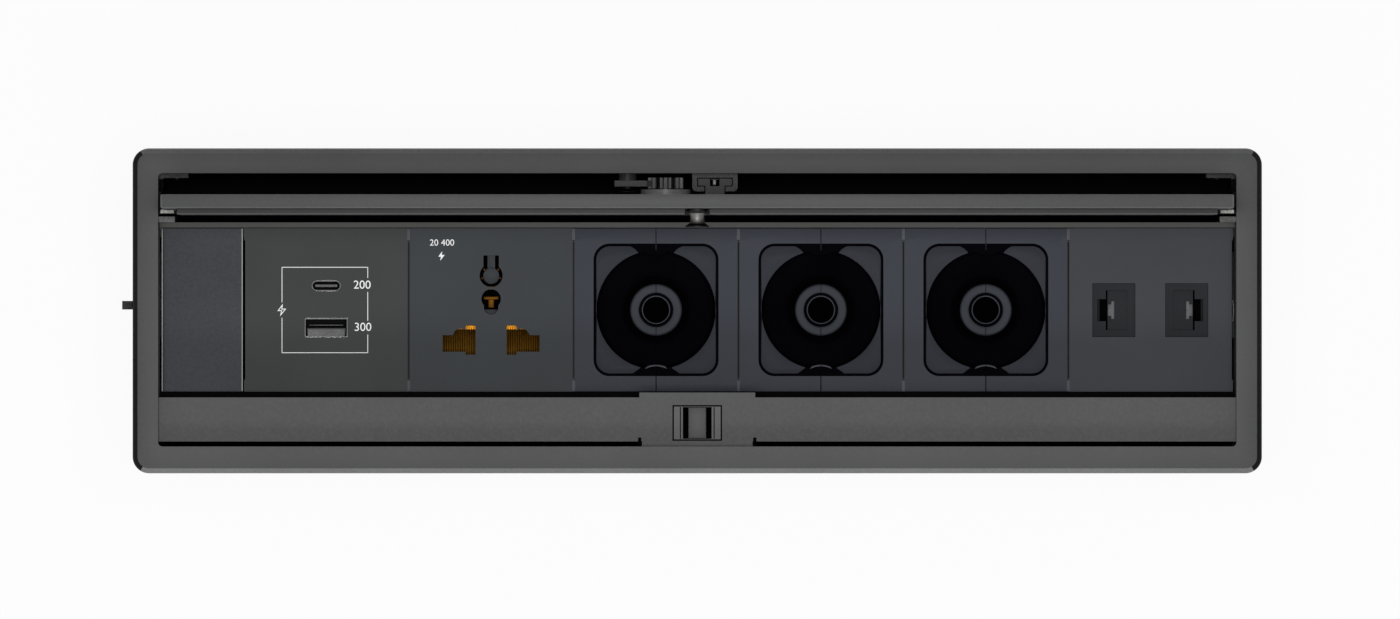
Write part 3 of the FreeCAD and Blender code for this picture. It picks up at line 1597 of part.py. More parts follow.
def make_jack_contacts():
    """Eight spring wires along the inner wall of each jack."""
    wires = []
    top = face_top - s.jack_sink - s.notch_wide
    count = int(float(s.jack_wires))
    for side in ("left", "right"):
        inner = plug_edges(side)[0]
        sign = -1 if side == "left" else 1
        low, high = sorted((inner, inner + sign * s.jack_wire), key=float)
        for i in range(count):
            y = s.jack_y + s.jack_wire_pitch * (i - (count - 1) / 2) - s.jack_wire / 2
            wire = doc.addObject("Part::Box", f"jack_wire_{side}_{i + 1}")
            tie(wire, "Length", high - low)
            tie(wire, "Width", s.jack_wire)
            tie(wire, "Height", s.plug_deep - s.notch_wide)
            for letter, value in (("x", low), ("y", y), ("z", top - s.plug_deep + s.notch_wide)):
                tie(wire, f"Placement.Base.{letter}", value)
            wires.append(wire)
    group("jack_contacts", wires)


# Power inlet in the floor, and the wires from it to the socket


def inlet_pin_places():
    """Neutral, live and earth pins of the inlet."""
    return [
        (s.inlet_x - s.inlet_pin_pitch, -s.inlet_earth_rise / 2),
        (s.inlet_x + s.inlet_pin_pitch, -s.inlet_earth_rise / 2),
        (s.inlet_x, s.inlet_earth_rise / 2),
    ]


def make_power_inlet():
    foot = -s.housing_depth
    top = foot + s.inlet_deep
    half_long, half_wide = s.inlet_long / 2, s.inlet_wide / 2
    body = new_body("power_inlet")
    high = (s.inlet_x + half_long, half_wide, top)
    block(body, "shroud", (s.inlet_x - half_long, -half_wide, foot), high)
    flange = s.inlet_flange
    low = (s.inlet_x - half_long - flange, -half_wide - flange, floor_top)
    high = (s.inlet_x + half_long + flange, half_wide + flange, floor_top + s.inlet_flange_thick)
    block(body, "flange", low, high)
    wall = s.inlet_wall
    low = (s.inlet_x - half_long + wall, wall - half_wide)
    high = (s.inlet_x + half_long - wall, half_wide - wall)
    mouth = [("rectangle", low, high)]
    add_pocket(body, "mouth", "XY", mouth, foot, top - s.inlet_floor)
    pins = []
    for x, y in inlet_pin_places():
        half_pin = s.inlet_pin_long / 2
        half_thick = s.inlet_pin_thick / 2
        pins.append(("rectangle", (x - half_thick, y - half_pin), (x + half_thick, y + half_pin)))
    add_pocket(body, "pin_slots", "XY", pins, top - s.inlet_floor, top)


def make_inlet_pins():
    top = s.inlet_deep - s.housing_depth
    pins = []
    for number, (x, y) in enumerate(inlet_pin_places(), start=1):
        pin = doc.addObject("Part::Box", f"inlet_pin_{number}")
        tie(pin, "Length", s.inlet_pin_thick)
        tie(pin, "Width", s.inlet_pin_long)
        tie(pin, "Height", s.inlet_pin_reach + s.inlet_floor + s.inlet_tab)
        tie(pin, "Placement.Base.x", x - s.inlet_pin_thick / 2)
        tie(pin, "Placement.Base.y", y - s.inlet_pin_long / 2)
        tie(pin, "Placement.Base.z", top - s.inlet_floor - s.inlet_pin_reach)
        pins.append(pin)
    group("inlet_pins", pins)


def make_inner_wires():
    """Three insulated wires, each rising from an inlet tab and bending over to its socket terminal."""
    start_z = float(s.inlet_deep - s.housing_depth + s.inlet_tab)
    end_z = float(face_foot - s.socket_depth - s.terminal_long)
    bend = float(s.wire_round) * 1.5
    wires = []
    for number, (pin, tab) in enumerate(zip(inlet_pin_places(), terminal_places(s.inlet_x)), start=1):
        start = FreeCAD.Vector(float(pin[0]), float(pin[1]), start_z)
        end = FreeCAD.Vector(float(tab[0]), float(tab[1]), end_z)
        middle = (start + end) * 0.5
        first = FreeCAD.Vector(start.x, start.y, start.z + bend)
        last = FreeCAD.Vector(end.x, end.y, end.z - bend)
        path = bent_wire([start, first, last, end], bend * 0.6)
        section = Part.Wire(Part.makeCircle(float(s.wire_round) / 2, start, FreeCAD.Vector(0, 0, 1)))
        wire = doc.addObject("Part::Feature", f"inner_wire_{number}")
        wire.Shape = path.makePipeShell([section], True, True)
        wires.append(wire)
    group("inner_wires", wires)


def bent_wire(points, cut_back):
    """Straight runs joined by tangent arcs that start a given distance from each corner."""
    edges = []
    here = points[0]
    for i in range(1, len(points) - 1):
        corner = points[i]
        back = (points[i - 1] - corner).normalize()
        ahead = (points[i + 1] - corner).normalize()
        enter = corner + back * cut_back
        leave = corner + ahead * cut_back
        half_turn = back.getAngle(ahead) / 2
        radius = cut_back * math.tan(half_turn)
        centre = corner + (back + ahead).normalize() * (cut_back / math.cos(half_turn))
        crown = centre + (corner - centre).normalize() * radius
        edges.append(Part.LineSegment(here, enter).toShape())
        edges.append(Part.Arc(enter, crown, leave).toShape())
        here = leave
    edges.append(Part.LineSegment(here, points[-1]).toShape())
    return Part.Wire(edges)


# Desk clamps: a screw that turns the dog out and draws it up under the desk


def make_clamp_bracket(side):
    low, high = across(side, s.clamp_x - s.clamp_head / 2, half_opening)
    back_low, back_high = across(side, half_opening - s.clamp_ear, half_opening)
    inner = s.clamp_y - s.clamp_screw / 2 - s.dog_thick / 2
    front = inner - s.clamp_back
    rear = s.clamp_y + s.clamp_head / 2
    top, foot = -s.clamp_ear_top, -s.clamp_ear_foot
    body = new_body(f"clamp_bracket_{side}")
    block(body, "back", (back_low, front, foot), (back_high, inner, top))
    block(body, "upper_ear", (low, front, top - s.clamp_ear), (high, rear, top))
    block(body, "lower_ear", (low, front, foot), (high, rear, foot + s.clamp_ear))
    sign = -1 if side == "left" else 1
    hole = [("circle", (sign * s.clamp_x, s.clamp_y), s.clamp_screw + s.screw_play * 2)]
    add_pocket(body, "screw_holes", "XY", hole, foot, top)


def make_clamp_screw(side):
    sign = -1 if side == "left" else 1
    top, foot = -s.clamp_ear_top, -s.clamp_ear_foot
    shank = s.clamp_screw / 2
    head = s.clamp_head / 2
    body = new_body(f"clamp_screw_{side}")
    head_foot = top + s.screw_play * 2
    head_top = head_foot + s.clamp_head_tall
    profile = [
        (0, foot),
        (shank, foot),
        (shank, head_foot),
        (head, head_foot),
        (head, head_top),
        (0, head_top),
    ]
    turn_profile(body, "screw", profile)
    half_long, half_wide = s.clamp_screw / 2, s.contact_sheet / 2
    slot = [("rectangle", (-half_long, -half_wide), (half_long, half_wide))]
    add_pocket(body, "driver_slot", "XY", slot, head_top - s.contact_sheet, head_top)
    move_body(body, sign * s.clamp_x, s.clamp_y, 0)


def make_clamp_dog(side):
    """An L-shaped claw on a threaded boss, which points along the body's X axis."""
    top = -s.dog_boss_top
    foot = top - s.dog_boss_tall
    half = s.dog_thick / 2
    tip_start = s.dog_reach - s.dog_tip
    bore = s.clamp_screw + s.dog_play * 2
    body = new_body(f"clamp_dog_{side}")
    add_pad(body, "boss", "XY", [("circle", (0, 0), s.dog_boss)], foot, top)
    block(body, "arm", (s.dog_boss / 4, -half, foot), (s.dog_reach, half, top))
    block(body, "claw", (tip_start, -half, top), (s.dog_reach, half, -s.dog_tip_top))
    add_pocket(body, "bore", "XY", [("circle", (0, 0), bore)], foot, top)

    def claw_heel(edge):
        middle = edge.CenterOfMass
        return runs_along(edge, "y") and near(middle.x, s.dog_reach) and near(middle.z, foot)

    fillet(body, "claw_heel", s.dog_tip, claw_heel)
    turned = 180.0 if side == "left" else float(s.dog_right_degrees)
    sign = -1 if side == "left" else 1
    move_body(body, sign * s.clamp_x, s.clamp_y, 0, FreeCAD.Rotation(FreeCAD.Vector(0, 0, 1), turned))
    if side == "right":
        tie(body, "Placement.Rotation.Angle", s.dog_right_degrees)


# Build order


def make_all():
    make_bezel()
    make_housing_shell()
    make_front_rail()
    make_latch_case()
    make_latch_plunger()
    make_latch_spring()
    for side in ("rear", "front"):
        make_module_rail(side)
    for side in ("left", "right"):
        make_end_plate(side)
        make_corner_bracket(side)
        make_side_track(side)
        make_hinge_leaf(side)
        make_clamp_bracket(side)
        make_clamp_screw(side)
        make_clamp_dog(side)
    make_bracket_screws()
    make_guide_channel()
    make_rack()
    make_rack_screws()
    make_carriage()
    make_carriage_screws()
    make_hinge_pins()
    make_guide_runner()
    make_damper_case()
    make_damper_pinion()
    make_lid_panel()
    make_lid_liner()
    make_striker()
    make_blank_module()
    make_usb_module()
    make_socket_module()
    for number, index in enumerate(CABLE_INDEXES, start=1):
        for side in ("left", "right"):
            make_cable_half(number, index, side)
    make_data_module()
    make_power_inlet()
    make_inlet_pins()
    make_inner_wires()


def check_objects():
    """Stops where any object failed or any node's shape is empty or invalid."""
    doc.recompute()
    failed = [thing.Name for thing in doc.Objects if "Invalid" in thing.State or "Error" in thing.State]
    if failed:
        raise ValueError(f"failed objects: {failed}")
    for name, thing in bodies.items():
        if thing.Shape.isNull() or not thing.Shape.isValid() or not thing.Shape.Solids:
            raise ValueError(f"{name}: the shape is empty or invalid")


def write_parts():
    os.makedirs("parts", exist_ok=True)
    for name, thing in bodies.items():
        thing.Shape.exportStep(f"parts/{name}.step")
        solids = thing.Shape.Solids
        print(f"{name}: {len(solids)} solid(s), {sum(solid.Volume for solid in solids):.1f} mm3")
    print(f"{len(bodies)} nodes")


make_all()
check_objects()
write_parts()
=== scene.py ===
# %% [markdown]
# # An in-desk power module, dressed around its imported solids
# The real object is a coated metal trough that hangs in a hole in a desk. Its lid stands on edge behind a
# row of modules: a blank, a charger, a mains socket, three cable ports and a pair of data jacks. The solids
# come in as a fixed frame. This script gives each one a finish, and models again, with smoother curves and
# finer detail, the pieces that the eye goes to first.

# %% Load the frame
import math

import bmesh
import bpy
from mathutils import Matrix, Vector


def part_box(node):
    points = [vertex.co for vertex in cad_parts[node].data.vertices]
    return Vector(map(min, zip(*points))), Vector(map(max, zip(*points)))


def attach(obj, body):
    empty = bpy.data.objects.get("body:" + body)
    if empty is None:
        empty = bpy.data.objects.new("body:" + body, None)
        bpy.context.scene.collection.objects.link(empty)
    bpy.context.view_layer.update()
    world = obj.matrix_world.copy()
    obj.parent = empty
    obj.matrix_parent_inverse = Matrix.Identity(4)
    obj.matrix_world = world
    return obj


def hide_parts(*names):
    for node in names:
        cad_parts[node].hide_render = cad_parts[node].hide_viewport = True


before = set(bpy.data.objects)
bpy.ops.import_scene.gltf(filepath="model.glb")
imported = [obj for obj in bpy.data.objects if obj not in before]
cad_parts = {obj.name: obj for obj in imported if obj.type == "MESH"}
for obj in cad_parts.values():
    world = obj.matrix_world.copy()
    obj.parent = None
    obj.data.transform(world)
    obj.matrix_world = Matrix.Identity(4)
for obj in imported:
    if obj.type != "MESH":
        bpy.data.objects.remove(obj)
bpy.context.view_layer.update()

MM = 0.001

# %% [markdown]
# ## Colours and shader nodes
# Colours are written as sRGB hex, because that is how a picture shows them. Shaders work with linear light,
# so one function turns the first into the second. A second one adds any shader node with its settings and
# links.

# %% Colour and node helpers
SRGB_KNEE = 0.04045
MIX_FACTOR, MIX_FIRST, MIX_SECOND, MIX_RESULT = 0, 6, 7, 2
# The near black that painted shade reaches deep in an opening.
SHADE_BLACK = "040404"
FINISHES = []


def linear(hex_colour):
    """An sRGB hex colour as linear red, green, blue and alpha."""
    channels = [int(hex_colour[i:i + 2], 16) / 255 for i in (0, 2, 4)]
    return [c / 12.92 if c <= SRGB_KNEE else ((c + 0.055) / 1.055) ** 2.4 for c in channels] + [1.0]


def add_node(tree, kind, inputs=(), **settings):
    """Adds a node. Each input is a number, a colour or another node's output."""
    node = tree.nodes.new(kind)
    for name, value in settings.items():
        setattr(node, name, value)
    for name, value in dict(inputs).items():
        if isinstance(value, bpy.types.NodeSocket):
            tree.links.new(value, node.inputs[name])
        else:
            node.inputs[name].default_value = value
    return node


def new_finish(name, roughness, metallic=0.0, coat=0.0, gloss=0.5):
    """An empty material with one Principled shader, and the place on the object that its patterns read."""
    FINISHES.append(name)
    material = bpy.data.materials.new(name)
    material.use_nodes = True
    tree = material.node_tree
    shader = tree.nodes["Principled BSDF"]
    shader.inputs["Roughness"].default_value = roughness
    shader.inputs["Metallic"].default_value = metallic
    shader.inputs["Coat Weight"].default_value = coat
    if not metallic:
        shader.inputs["Specular IOR Level"].default_value = gloss
    place = add_node(tree, "ShaderNodeTexCoord").outputs["Object"]
    return material, tree, shader, place


def blend(tree, factor, first, second):
    """A colour that goes from the first to the second as the factor goes from 0 to 1."""
    inputs = {MIX_FACTOR: factor, MIX_FIRST: first, MIX_SECOND: second}
    return add_node(tree, "ShaderNodeMix", inputs, data_type="RGBA").outputs[MIX_RESULT]


def colour_between(tree, factor, dark, light):
    return blend(tree, factor, linear(dark), linear(light))


def spread(tree, value, low, high, low_out=0.0, high_out=1.0):
    """Stretches a pattern's useful middle to a whole range."""
    inputs = {"Value": value, "From Min": low, "From Max": high, "To Min": low_out, "To Max": high_out}
    return add_node(tree, "ShaderNodeMapRange", inputs).outputs["Result"]


def grain(tree, place, size_mm, detail=3.0):
    """A cloudy pattern whose grains are about this many millimetres across."""
    inputs = {"Vector": place, "Scale": 1 / (size_mm * MM), "Detail": detail}
    return add_node(tree, "ShaderNodeTexNoise", inputs).outputs["Fac"]


def darken_below(tree, place, colour, light_mm, dark_mm, axis="Z"):
    """Takes a colour down to near black between two places on an axis, as painted shade deep in an opening.
    """
    level = add_node(tree, "ShaderNodeSeparateXYZ", {"Vector": place}).outputs[axis]
    return blend(tree, spread(tree, level, dark_mm * MM, light_mm * MM), linear(SHADE_BLACK), colour)


def raise_surface(tree, shader, height, depth_mm, strength=1.0):
    """Bumps the surface by a pattern of this depth."""
    inputs = {"Height": height, "Distance": depth_mm * MM, "Strength": strength}
    bump = add_node(tree, "ShaderNodeBump", inputs)
    tree.links.new(bump.outputs["Normal"], shader.inputs["Normal"])


# %% [markdown]
# ## Powder coat on aluminium
# The bezel, lid and front rail are aluminium with a satin black powder coat. The baked powder leaves a
# faint orange peel, a millimetre or so across, so a flat face isn't quite even in tone and its gloss breaks
# up.

# %% Powder coat
def powder_coat(name, dark, light, roughness=0.5, gloss=0.15):
    """A baked coat between two tones, with its orange peel as a slight bump."""
    material, tree, shader, place = new_finish(name, roughness, gloss=gloss)
    peel = grain(tree, place, 0.9)
    clouds = grain(tree, place, 45.0, detail=2.0)
    tone = add_node(tree, "ShaderNodeMath", {0: peel, 1: clouds}, operation="ADD").outputs[0]
    colour = colour_between(tree, spread(tree, tone, 0.75, 1.25), dark, light)
    tree.links.new(colour, shader.inputs["Base Color"])
    rough = spread(tree, peel, 0.3, 0.7, roughness - 0.05, roughness + 0.06)
    tree.links.new(rough, shader.inputs["Roughness"])
    raise_surface(tree, shader, peel, 0.02, 0.35)
    return material


BEZEL_COAT = powder_coat("satin_black_powder_coat", "4d4d4d", "545454")
LID_COAT = powder_coat("satin_black_powder_coat_lid", "4e4e4e", "545454")
RAIL_COAT = powder_coat("satin_black_powder_coat_rail", "4f4f4f", "555555")
# A lighter copy of the coat, which paints a highlight on the top bevels of the lid and its liner.
EDGE_HIGHLIGHT_COAT = powder_coat("powder_coat_with_painted_highlight_on_the_edge", "5c5c5c", "656565", 0.45)
# A darker copy of the coat, as painted shade on the bezel's end bevels.
END_SHADE_COAT = powder_coat("powder_coat_with_painted_shade_on_the_end_bevels", "181818", "202020", 0.7, 0.05)
# A near-black coat, as painted shade inside the trough and on the front module rail.
STEEL_SHADE_COAT = powder_coat("matt_black_coat_with_painted_shade", "080808", "0c0c0c", 0.7, 0.03)
# A lighter coat for the trough's outside, as painted light.
SHELL_LIT_COAT = powder_coat("black_coat_with_painted_light_outside_the_trough", "343536", "404142", 0.5, 0.1)
RAIL_STEEL = powder_coat("olive_grey_coat_on_steel", "50504c", "575755", 0.55)
# Lighter copies of the coat, as painted highlights on the bezel's front and rear bevels.
FRONT_HIGHLIGHT_COAT = powder_coat("powder_coat_with_painted_highlight_on_the_front_bevel", "747474", "808080", 0.45)
REAR_HIGHLIGHT_COAT = powder_coat("powder_coat_with_painted_highlight_on_the_rear_bevel", "575757", "616161", 0.45)
# A bright copy of the coat, as a painted highlight along the edges of the blank.
HIGHLIGHT_LINE_COAT = powder_coat("powder_coat_with_a_painted_highlight_line", "a2a2a2", "b4b4b4", 0.4)
print("powder coats:", len(FINISHES))

# %% [markdown]
# ## Moulded plastic
# The module faces are slate grey ABS and polycarbonate from a spark-eroded mould, which prints a fine even
# grain on them. The grain kills the gloss and shows as a very fine speckle. The moulds differ a little in
# tint.

# %% Moulded plastic
def moulded_plastic(name, dark, light, grain_mm=0.35, roughness=0.6, depth_mm=0.03, gloss=0.15, depths=()):
    """Plastic with a mould's grain, which may darken between two heights as painted shade."""
    material, tree, shader, place = new_finish(name, roughness, gloss=gloss)
    sparks = grain(tree, place, grain_mm)
    clouds = grain(tree, place, 30.0, detail=2.0)
    tone = add_node(tree, "ShaderNodeMath", {0: sparks, 1: clouds}, operation="ADD").outputs[0]
    colour = colour_between(tree, spread(tree, tone, 0.7, 1.3), dark, light)
    if depths:
        colour = darken_below(tree, place, colour, *depths)
    tree.links.new(colour, shader.inputs["Base Color"])
    raise_surface(tree, shader, sparks, depth_mm, 0.3)
    return material


def toothed_plastic(name, dark, light, centre, root_mm, tip_mm):
    """Acetal with painted shade at the roots of the teeth and a painted highlight at their tips."""
    material, tree, shader, place = new_finish(name, 0.4, gloss=0.3)
    flat = {0: place, 1: tuple(value * MM for value in centre)}
    offset = add_node(tree, "ShaderNodeVectorMath", flat, operation="SUBTRACT").outputs["Vector"]
    across = add_node(tree, "ShaderNodeVectorMath", {0: offset, 1: (1, 0, 1)}, operation="MULTIPLY")
    reach = add_node(tree, "ShaderNodeVectorMath", {0: across.outputs["Vector"]}, operation="LENGTH")
    highlight_mask = spread(tree, reach.outputs["Value"], root_mm * MM, tip_mm * MM)
    tree.links.new(colour_between(tree, highlight_mask, dark, light), shader.inputs["Base Color"])
    raise_surface(tree, shader, grain(tree, place, 0.6), 0.02, 0.3)
    return material


BLANK_ABS = moulded_plastic("grained_abs_blank", "404246", "4c4e53", 0.7, 0.62, 0.08)
USB_ABS = moulded_plastic("grained_abs_charger", "3f4140", "454746")
SOCKET_ABS = moulded_plastic("grained_polycarbonate_socket", "3c3f42", "414548")
PORT_ABS = moulded_plastic("grained_abs_port", "3b3e46", "41444c")
PLATEAU_ABS = moulded_plastic("grained_abs_port_corner", "2b2e35", "31343b")
HUB_ABS = moulded_plastic("grained_abs_port_ring", "33363c", "393c42")
DATA_ABS = moulded_plastic("grained_abs_data", "414247", "47484d")
# The light grey of the keys, also used as a painted highlight on the port's front scoop.
LUG_AND_HIGHLIGHT_ABS = moulded_plastic("grained_abs_for_lugs_and_painted_highlight", "54565c", "5c5e64")
# Near-black plastic, which also stands as painted shade in wells, seams, slots and notches.
BLACK_ABS_AND_SHADE = moulded_plastic("black_abs_with_painted_shade", "030306", "06060b", 1.2, 0.8, 0.005, 0.02)
DARK_ABS = moulded_plastic("black_abs", "121214", "19191b", 0.5, 0.5)
CASE_PBT = moulded_plastic("black_pbt_housing", "18181a", "202022", 0.8, 0.55)
LINER_ABS = moulded_plastic("matt_black_liner", "353535", "3b3b3b", 0.5, 0.55)
# The jack and its shutter darken deeper in the opening, as painted shade.
JACK_ABS = moulded_plastic("dark_grey_jack", "303134", "36383b", 0.4, 0.7, 0.02, 0.03, (-28.2, -29.2))
SHUTTER_ABS = moulded_plastic(
    "dark_grey_jack_shutter", "303134", "36373a", 0.4, 0.7, 0.02, 0.03, (-28.7, -29.4)
)
# A darker copy of the jack's grey, as painted shade.
LIP_SHADE_ABS = moulded_plastic("jack_lip_with_painted_shade", "1e1f21", "242527", 0.4, 0.7, 0.02, 0.03)
# The gaskets darken down their grooves, as painted shade in the joints.
GASKET_RUBBER = moulded_plastic("grey_rubber_gasket", "4c4e52", "545659", 0.5, 0.6, depths=(-27.1, -27.5))
SHALLOW_RUBBER = moulded_plastic(
    "grey_rubber_gasket_shallow", "4c4e52", "545659", 0.5, 0.6, depths=(-27.1, -28.0)
)
# The damper is painted much lighter than its acetal, as painted light against the shade behind the lid.
DAMPER_LIT_POM = moulded_plastic("acetal_damper_with_painted_light", "848484", "929292", 0.6, 0.4, gloss=0.4)
KEY_ABS = moulded_plastic("light_grey_acetal", "56585a", "606264", 0.6, 0.42)
LATCH_POM = moulded_plastic("grey_acetal_latch", "505050", "585858", 0.6, 0.42)
SLIDER_POM = moulded_plastic("grey_acetal_latch_slider", "4c4c4c", "545454", 0.6, 0.42)
RACK_POM = moulded_plastic("dark_acetal_rack", "3e3e3e", "484848", 0.6, 0.42)
RUNNER_POM = moulded_plastic("dark_acetal_runner", "383838", "424242", 0.6, 0.42)
PINION = [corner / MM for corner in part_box("damper_pinion")]
PINION_MIDDLE = tuple((PINION[0] + PINION[1]) / 2)
TIP_MM = (PINION[1].x - PINION[0].x) / 2
# The pinion's teeth get painted shade at their roots and a painted highlight at their tips.
TOOTH_POM = toothed_plastic(
    "grey_acetal_pinion", "060606", "7c7c7c", PINION_MIDDLE, TIP_MM - 1.0, TIP_MM - 0.1
)
print("powder coats and plastics:", len(FINISHES))

# %% [markdown]
# ## Bare and plated metals
# Anodised and zinc-plated pieces keep the marks of how they were made: die lines along an extrusion, and
# the cloudy bloom of plating. Brass springs are stamped from strip and have started to tarnish where they
# aren't worn; deeper down they also darken as painted shade. The metals keep the shader's own index of
# refraction.

# %% Metals
def drawn_metal(name, dark, light, roughness, line_mm, along=(1.0, 1.0, 0.04), depths=()):
    """Metal with fine lines along one axis, which may darken between two heights as painted shade."""
    material, tree, shader, place = new_finish(name, roughness, metallic=1.0)
    stretched = add_node(tree, "ShaderNodeMapping", {"Vector": place, "Scale": along}).outputs["Vector"]
    lines = grain(tree, stretched, line_mm)
    bloom = grain(tree, place, 8.0)
    tone = add_node(tree, "ShaderNodeMath", {0: lines, 1: bloom}, operation="ADD").outputs[0]
    colour = colour_between(tree, spread(tree, tone, 0.7, 1.3), dark, light)
    if depths:
        colour = darken_below(tree, place, colour, *depths)
    tree.links.new(colour, shader.inputs["Base Color"])
    rough = spread(tree, lines, 0.3, 0.7, roughness - 0.08, roughness + 0.08)
    tree.links.new(rough, shader.inputs["Roughness"])
    raise_surface(tree, shader, lines, 0.01, 0.3)
    return material


ALONG_X = (0.04, 1.0, 1.0)
ZINC = drawn_metal("zinc_plated_steel", "4a4a48", "585856", 0.4, 0.5)
# Black zinc plating, also used as painted shade on the striker's flares.
BLACK_ZINC_AND_SHADE = drawn_metal("black_zinc_plated_steel_and_painted_shade", "1c1c1c", "262626", 0.45, 0.5)
# The bracket goes near black towards the front, as painted shade.
BRACKET_ZINC = drawn_metal(
    "black_zinc_plated_bracket", "1c1c1c", "262626", 0.45, 0.5, depths=(40.1, 39.8, "Y")
)
TRACK_ZINC = drawn_metal("black_zinc_plated_track", "2e2e2e", "3c3c3c", 0.45, 0.5)
BLACK_ANODISED = drawn_metal("black_anodised_extrusion", "242424", "2e2e2e", 0.45, 0.35)
CARRIAGE_ANODISED = drawn_metal("black_anodised_carriage", "060606", "0a0a0a", 0.45, 0.35, ALONG_X)
# The port shells darken deeper inside, as painted shade.
SHELL_STEEL = drawn_metal("drawn_stainless_shell", "303030", "3c3c3c", 0.4, 0.3, depths=(-27.6, -28.6))
LIP_STEEL = drawn_metal("drawn_stainless_lip", "505050", "5c5c5c", 0.4, 0.3)
STRIKER_STEEL = drawn_metal("bright_turned_steel", "605f5e", "6c6b6a", 0.5, 0.3, ALONG_X)
# The combs' brass darkens deeper down, partly tarnish and partly painted shade.
BRASS = drawn_metal("tarnished_spring_brass_with_painted_shade", "9a681a", "ba8630", 0.5, 0.3, depths=(-34.0, -38.6))
LEDGE_BRASS = drawn_metal("rubbed_spring_brass", "8a5812", "bc7c20", 0.5, 0.3)
BRIDGE_BRASS = drawn_metal("tarnished_brass_bridge", "38240a", "543610", 0.5, 0.3)
DEEP_BRASS = drawn_metal("spring_brass_out_of_the_light", "3a240a", "5a3a10", 0.5, 0.4, depths=(-28.0, -33.0))
NICKEL = drawn_metal("nickel_plated_pin", "6a6862", "7a766e", 0.32, 0.4)
print("coats, plastics and metals:", len(FINISHES))

# %% [markdown]
# ## Ink, solder resist and wire sheath
# The white marks are pad-printed ink, slightly uneven where the pad lifted. The charger's board shows green
# solder resist over its copper tracks, and the wires inside have a soft glossy vinyl sheath.

# %% Ink, resist and sheath
def printed_ink():
    material, tree, shader, place = new_finish("white_pad_printed_ink_with_painted_glow", 0.5)
    cover = spread(tree, grain(tree, place, 0.25), 0.2, 0.55)
    tree.links.new(colour_between(tree, cover, "e4e4e4", "ffffff"), shader.inputs["Base Color"])
    # The ink also glows faintly, which is painted light.
    tree.links.new(colour_between(tree, cover, "9a9a9a", "c4c4c4"), shader.inputs["Emission Color"])
    shader.inputs["Emission Strength"].default_value = 0.2
    return material


def solder_resist():
    material, tree, shader, place = new_finish("green_solder_resist", 0.35, coat=0.4)
    tracks = add_node(tree, "ShaderNodeTexBrick", {
        "Vector": place,
        "Color1": linear("0d3a1f"),
        "Color2": linear("10452a"),
        "Mortar": linear("1f6a42"),
        "Scale": 1 / (4.0 * MM),
        "Mortar Size": 0.03,
    })
    tree.links.new(tracks.outputs["Color"], shader.inputs["Base Color"])
    raise_surface(tree, shader, tracks.outputs["Fac"], 0.03)
    return material


def vinyl_sheath():
    material, tree, shader, place = new_finish("vinyl_wire_sheath", 0.35)
    rub = grain(tree, place, 1.5)
    tree.links.new(colour_between(tree, rub, "6a3a12", "7c4a1c"), shader.inputs["Base Color"])
    raise_surface(tree, shader, rub, 0.02, 0.3)
    return material


INK = printed_ink()
RESIST = solder_resist()
SHEATH = vinyl_sheath()
print("finishes of the object:", len(FINISHES))

# %% [markdown]
# ## Camera, floor and light
# The picture looks straight down with hardly any perspective, so the camera hangs more than eight metres
# above with a long lens. The object stands on a pale floor under one soft box, which leaves hardly any
# shadow beside the standing lid. A weaker one low in front picks out the front bevel. Beyond the floor,
# rays that look meet white and rays that light meet a dim sky.

# %% Camera
PICTURE_WIDTH_MM = 422.95
LENS_MM = 720.0
SENSOR_MM = 36.0
PICTURE_CENTRE_MM = (0.83, 0.4)
BEZEL_TOP_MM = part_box("bezel")[1].z / MM
camera_height = BEZEL_TOP_MM + PICTURE_WIDTH_MM * LENS_MM / SENSOR_MM
bpy.ops.object.camera_add(
    location=(PICTURE_CENTRE_MM[0] * MM, PICTURE_CENTRE_MM[1] * MM, camera_height * MM), rotation=(0, 0, 0)
)
camera = bpy.context.object
camera.data.lens = LENS_MM
camera.data.sensor_width = SENSOR_MM
bpy.context.scene.camera = camera
print("camera height:", round(camera_height * MM, 3), "m")

# %% Floor
FLOOR_SIDE = 6.0
FLOOR_GAP_MM = 0.6
WHITE_SHARE = 0.93


def looked_at(tree):
    """One for rays that look, straight, off a mirror or through glass, and nought for rays that light."""
    path = add_node(tree, "ShaderNodeLightPath")
    seen = path.outputs["Is Camera Ray"]
    for ray in ("Is Glossy Ray", "Is Transmission Ray"):
        either = add_node(tree, "ShaderNodeMath", {0: seen, 1: path.outputs[ray]}, operation="MAXIMUM")
        seen = either.outputs[0]
    return seen


def pale_paint():
    """White paint, whose shadows the camera and the metals see only faintly."""
    material, tree, shader, place = new_finish("pale_matt_paint", 0.8)
    roll = grain(tree, place, 3.0)
    tree.links.new(colour_between(tree, roll, "f6f6f6", "fbfbfb"), shader.inputs["Base Color"])
    raise_surface(tree, shader, roll, 0.02, 0.2)
    share = add_node(tree, "ShaderNodeMath", {0: looked_at(tree), 1: WHITE_SHARE}, operation="MULTIPLY")
    glow = add_node(tree, "ShaderNodeEmission", {"Color": linear("ffffff"), "Strength": 1.0})
    inputs = {0: share.outputs[0], 1: shader.outputs[0], 2: glow.outputs[0]}
    mix = add_node(tree, "ShaderNodeMixShader", inputs)
    tree.links.new(mix.outputs[0], tree.nodes["Material Output"].inputs["Surface"])
    return material


floor_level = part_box("housing_shell")[0].z - FLOOR_GAP_MM * MM
bpy.ops.mesh.primitive_plane_add(size=FLOOR_SIDE, location=(0, 0, floor_level))
floor = bpy.context.object
floor.name = "floor"
floor.data.materials.append(pale_paint())

